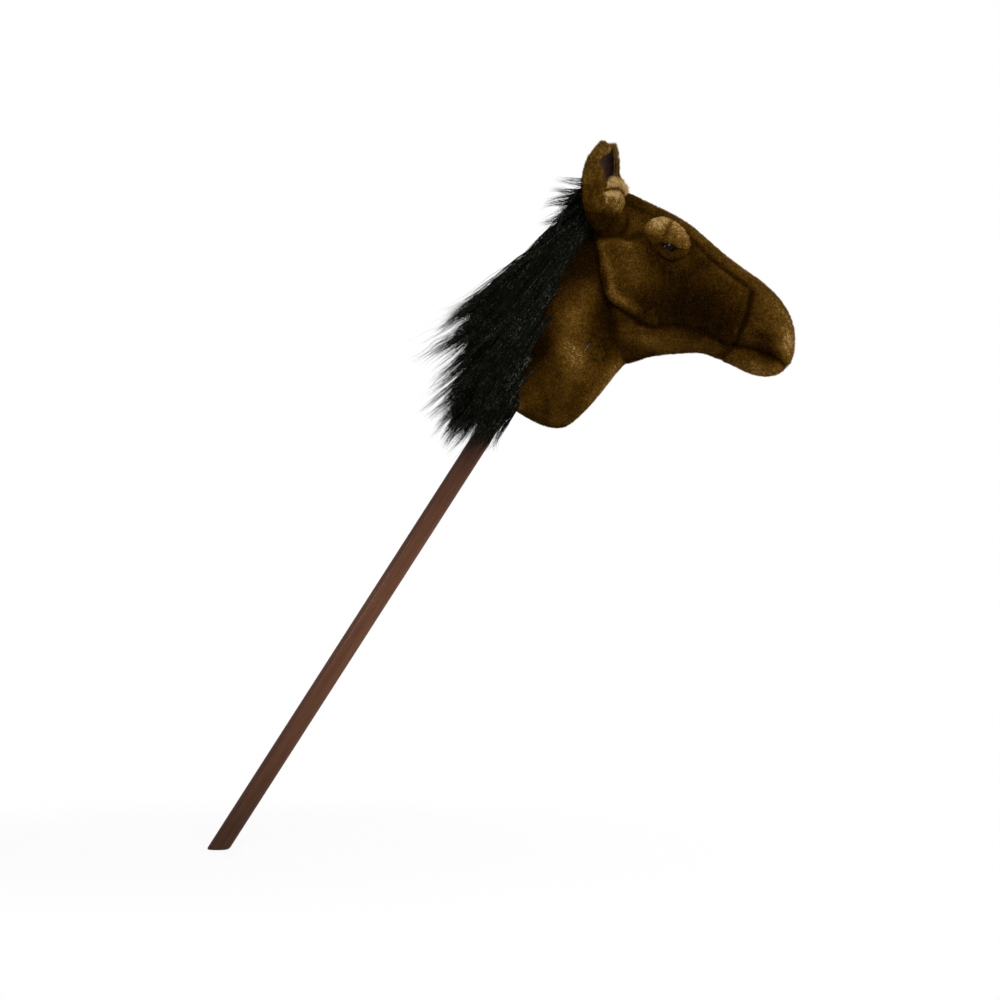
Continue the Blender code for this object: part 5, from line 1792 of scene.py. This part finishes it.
CAD_FINISHES = {
    "pole": varnished_wood(),
    "pole_cap": plastic("black_plastic", (24, 24, 26), 0.5),
    "screw": steel("zinc_steel", (200, 200, 196), 0.35),
    "sound_case": plastic("case_plastic", (206, 206, 200), 0.45),
    "sound_button": plastic("button_plastic", (170, 28, 26), 0.4),
    "switch_dome": plastic("dome_rubber", (70, 70, 72), 0.7),
    "sound_board": plastic("circuit_board", (20, 96, 48), 0.45),
    "button_cell": steel("cell_steel", (206, 206, 200), 0.3),
    "speaker": plastic("speaker_metal", (48, 48, 50), 0.5),
    "eye_washer": plastic("washer_plastic", (214, 212, 204), 0.5),
    "eye_left": eye_gloss(),
}
CAD_FINISHES["pole_collar"] = CAD_FINISHES["pole_cap"]
CAD_FINISHES["eye_right"] = CAD_FINISHES["eye_left"]
for name, node in frame["nodes"].items():
    if node.hide_render:
        continue
    if "screw" in name:
        give(node, CAD_FINISHES["screw"])
        continue
    starts = [start for start in CAD_FINISHES if name.startswith(start)]
    give(node, CAD_FINISHES[max(starts, key=len)])


# The stage: a plain pale floor, soft lamps and the camera

CENTRE = Vector((0.353, 0, 0.437))
VIEW_WIDTH = 1.25
SKY_LIGHT = 0.3
FLOOR_HALF = 40.0
corners = ((-1, -1, 0), (1, -1, 0), (1, 1, 0), (-1, 1, 0))
floor = mesh_of("floor", np.array(corners) * FLOOR_HALF, [(0, 1, 2, 3)])


def floor_finish():
    """Pale, and near white to the camera and in reflections; it keeps the object's shadow."""
    tree = Finish("floor", Roughness=0.9, Base_Color=(0.86, 0.86, 0.86, 1))
    glow = tree.node("ShaderNodeEmission", {}, (1, 1, 1, 1), 1.0)
    away = tree.node("ShaderNodeVectorMath", {"operation": "LENGTH"}, tree.place, out="Value")
    share = tree.seen() * (0.86 + 0.14 * away.between(0.25, 0.9))
    mixed = tree.node("ShaderNodeMixShader", {}, share, Wire(tree, tree.shader.outputs[0]), glow)
    tree.tree.links.new(mixed.socket, tree.tree.nodes["Material Output"].inputs["Surface"])
    return tree.material


give(floor, floor_finish())


# place and size in metres, and power in watts
LAMPS = {"key": ((1.6, -2.0, 2.6), 1.3, 64), "fill": ((-1.9, -2.0, 1.5), 0.7, 12),
         "back": ((1.0, 2.2, 1.9), 1.6, 26), "rim": ((2.7, 0.9, 0.3), 1.2, 44)}
for name, (place, size, power) in LAMPS.items():
    light = bpy.data.lights.new(name, "AREA")
    light.shape = "DISK"
    light.size = size
    light.energy = power
    thing = linked(name, light)
    thing.location = place
    thing.rotation_euler = (CENTRE - Vector(place)).to_track_quat("-Z", "Y").to_euler()

world = bpy.data.worlds.new("studio")
bpy.context.scene.world = world
world.use_nodes = True
sky = Tree(world.node_tree)
backdrop = world.node_tree.nodes["Background"].inputs
sky.feed(backdrop["Strength"], SKY_LIGHT + (1 - SKY_LIGHT) * sky.seen())
sky.feed(backdrop["Color"], (1, 1, 1, 1))

camera = bpy.data.cameras.new("camera")
camera.lens = 135
camera.sensor_width = 36
camera.clip_end = 50
camera_object = linked("camera", camera)
camera_object.location = CENTRE - Vector((0, VIEW_WIDTH * camera.lens / camera.sensor_width, 0))
camera_object.rotation_euler = (math.pi / 2, 0, 0)
bpy.context.scene.camera = camera_object
bpy.context.scene.view_settings.view_transform = "Standard"
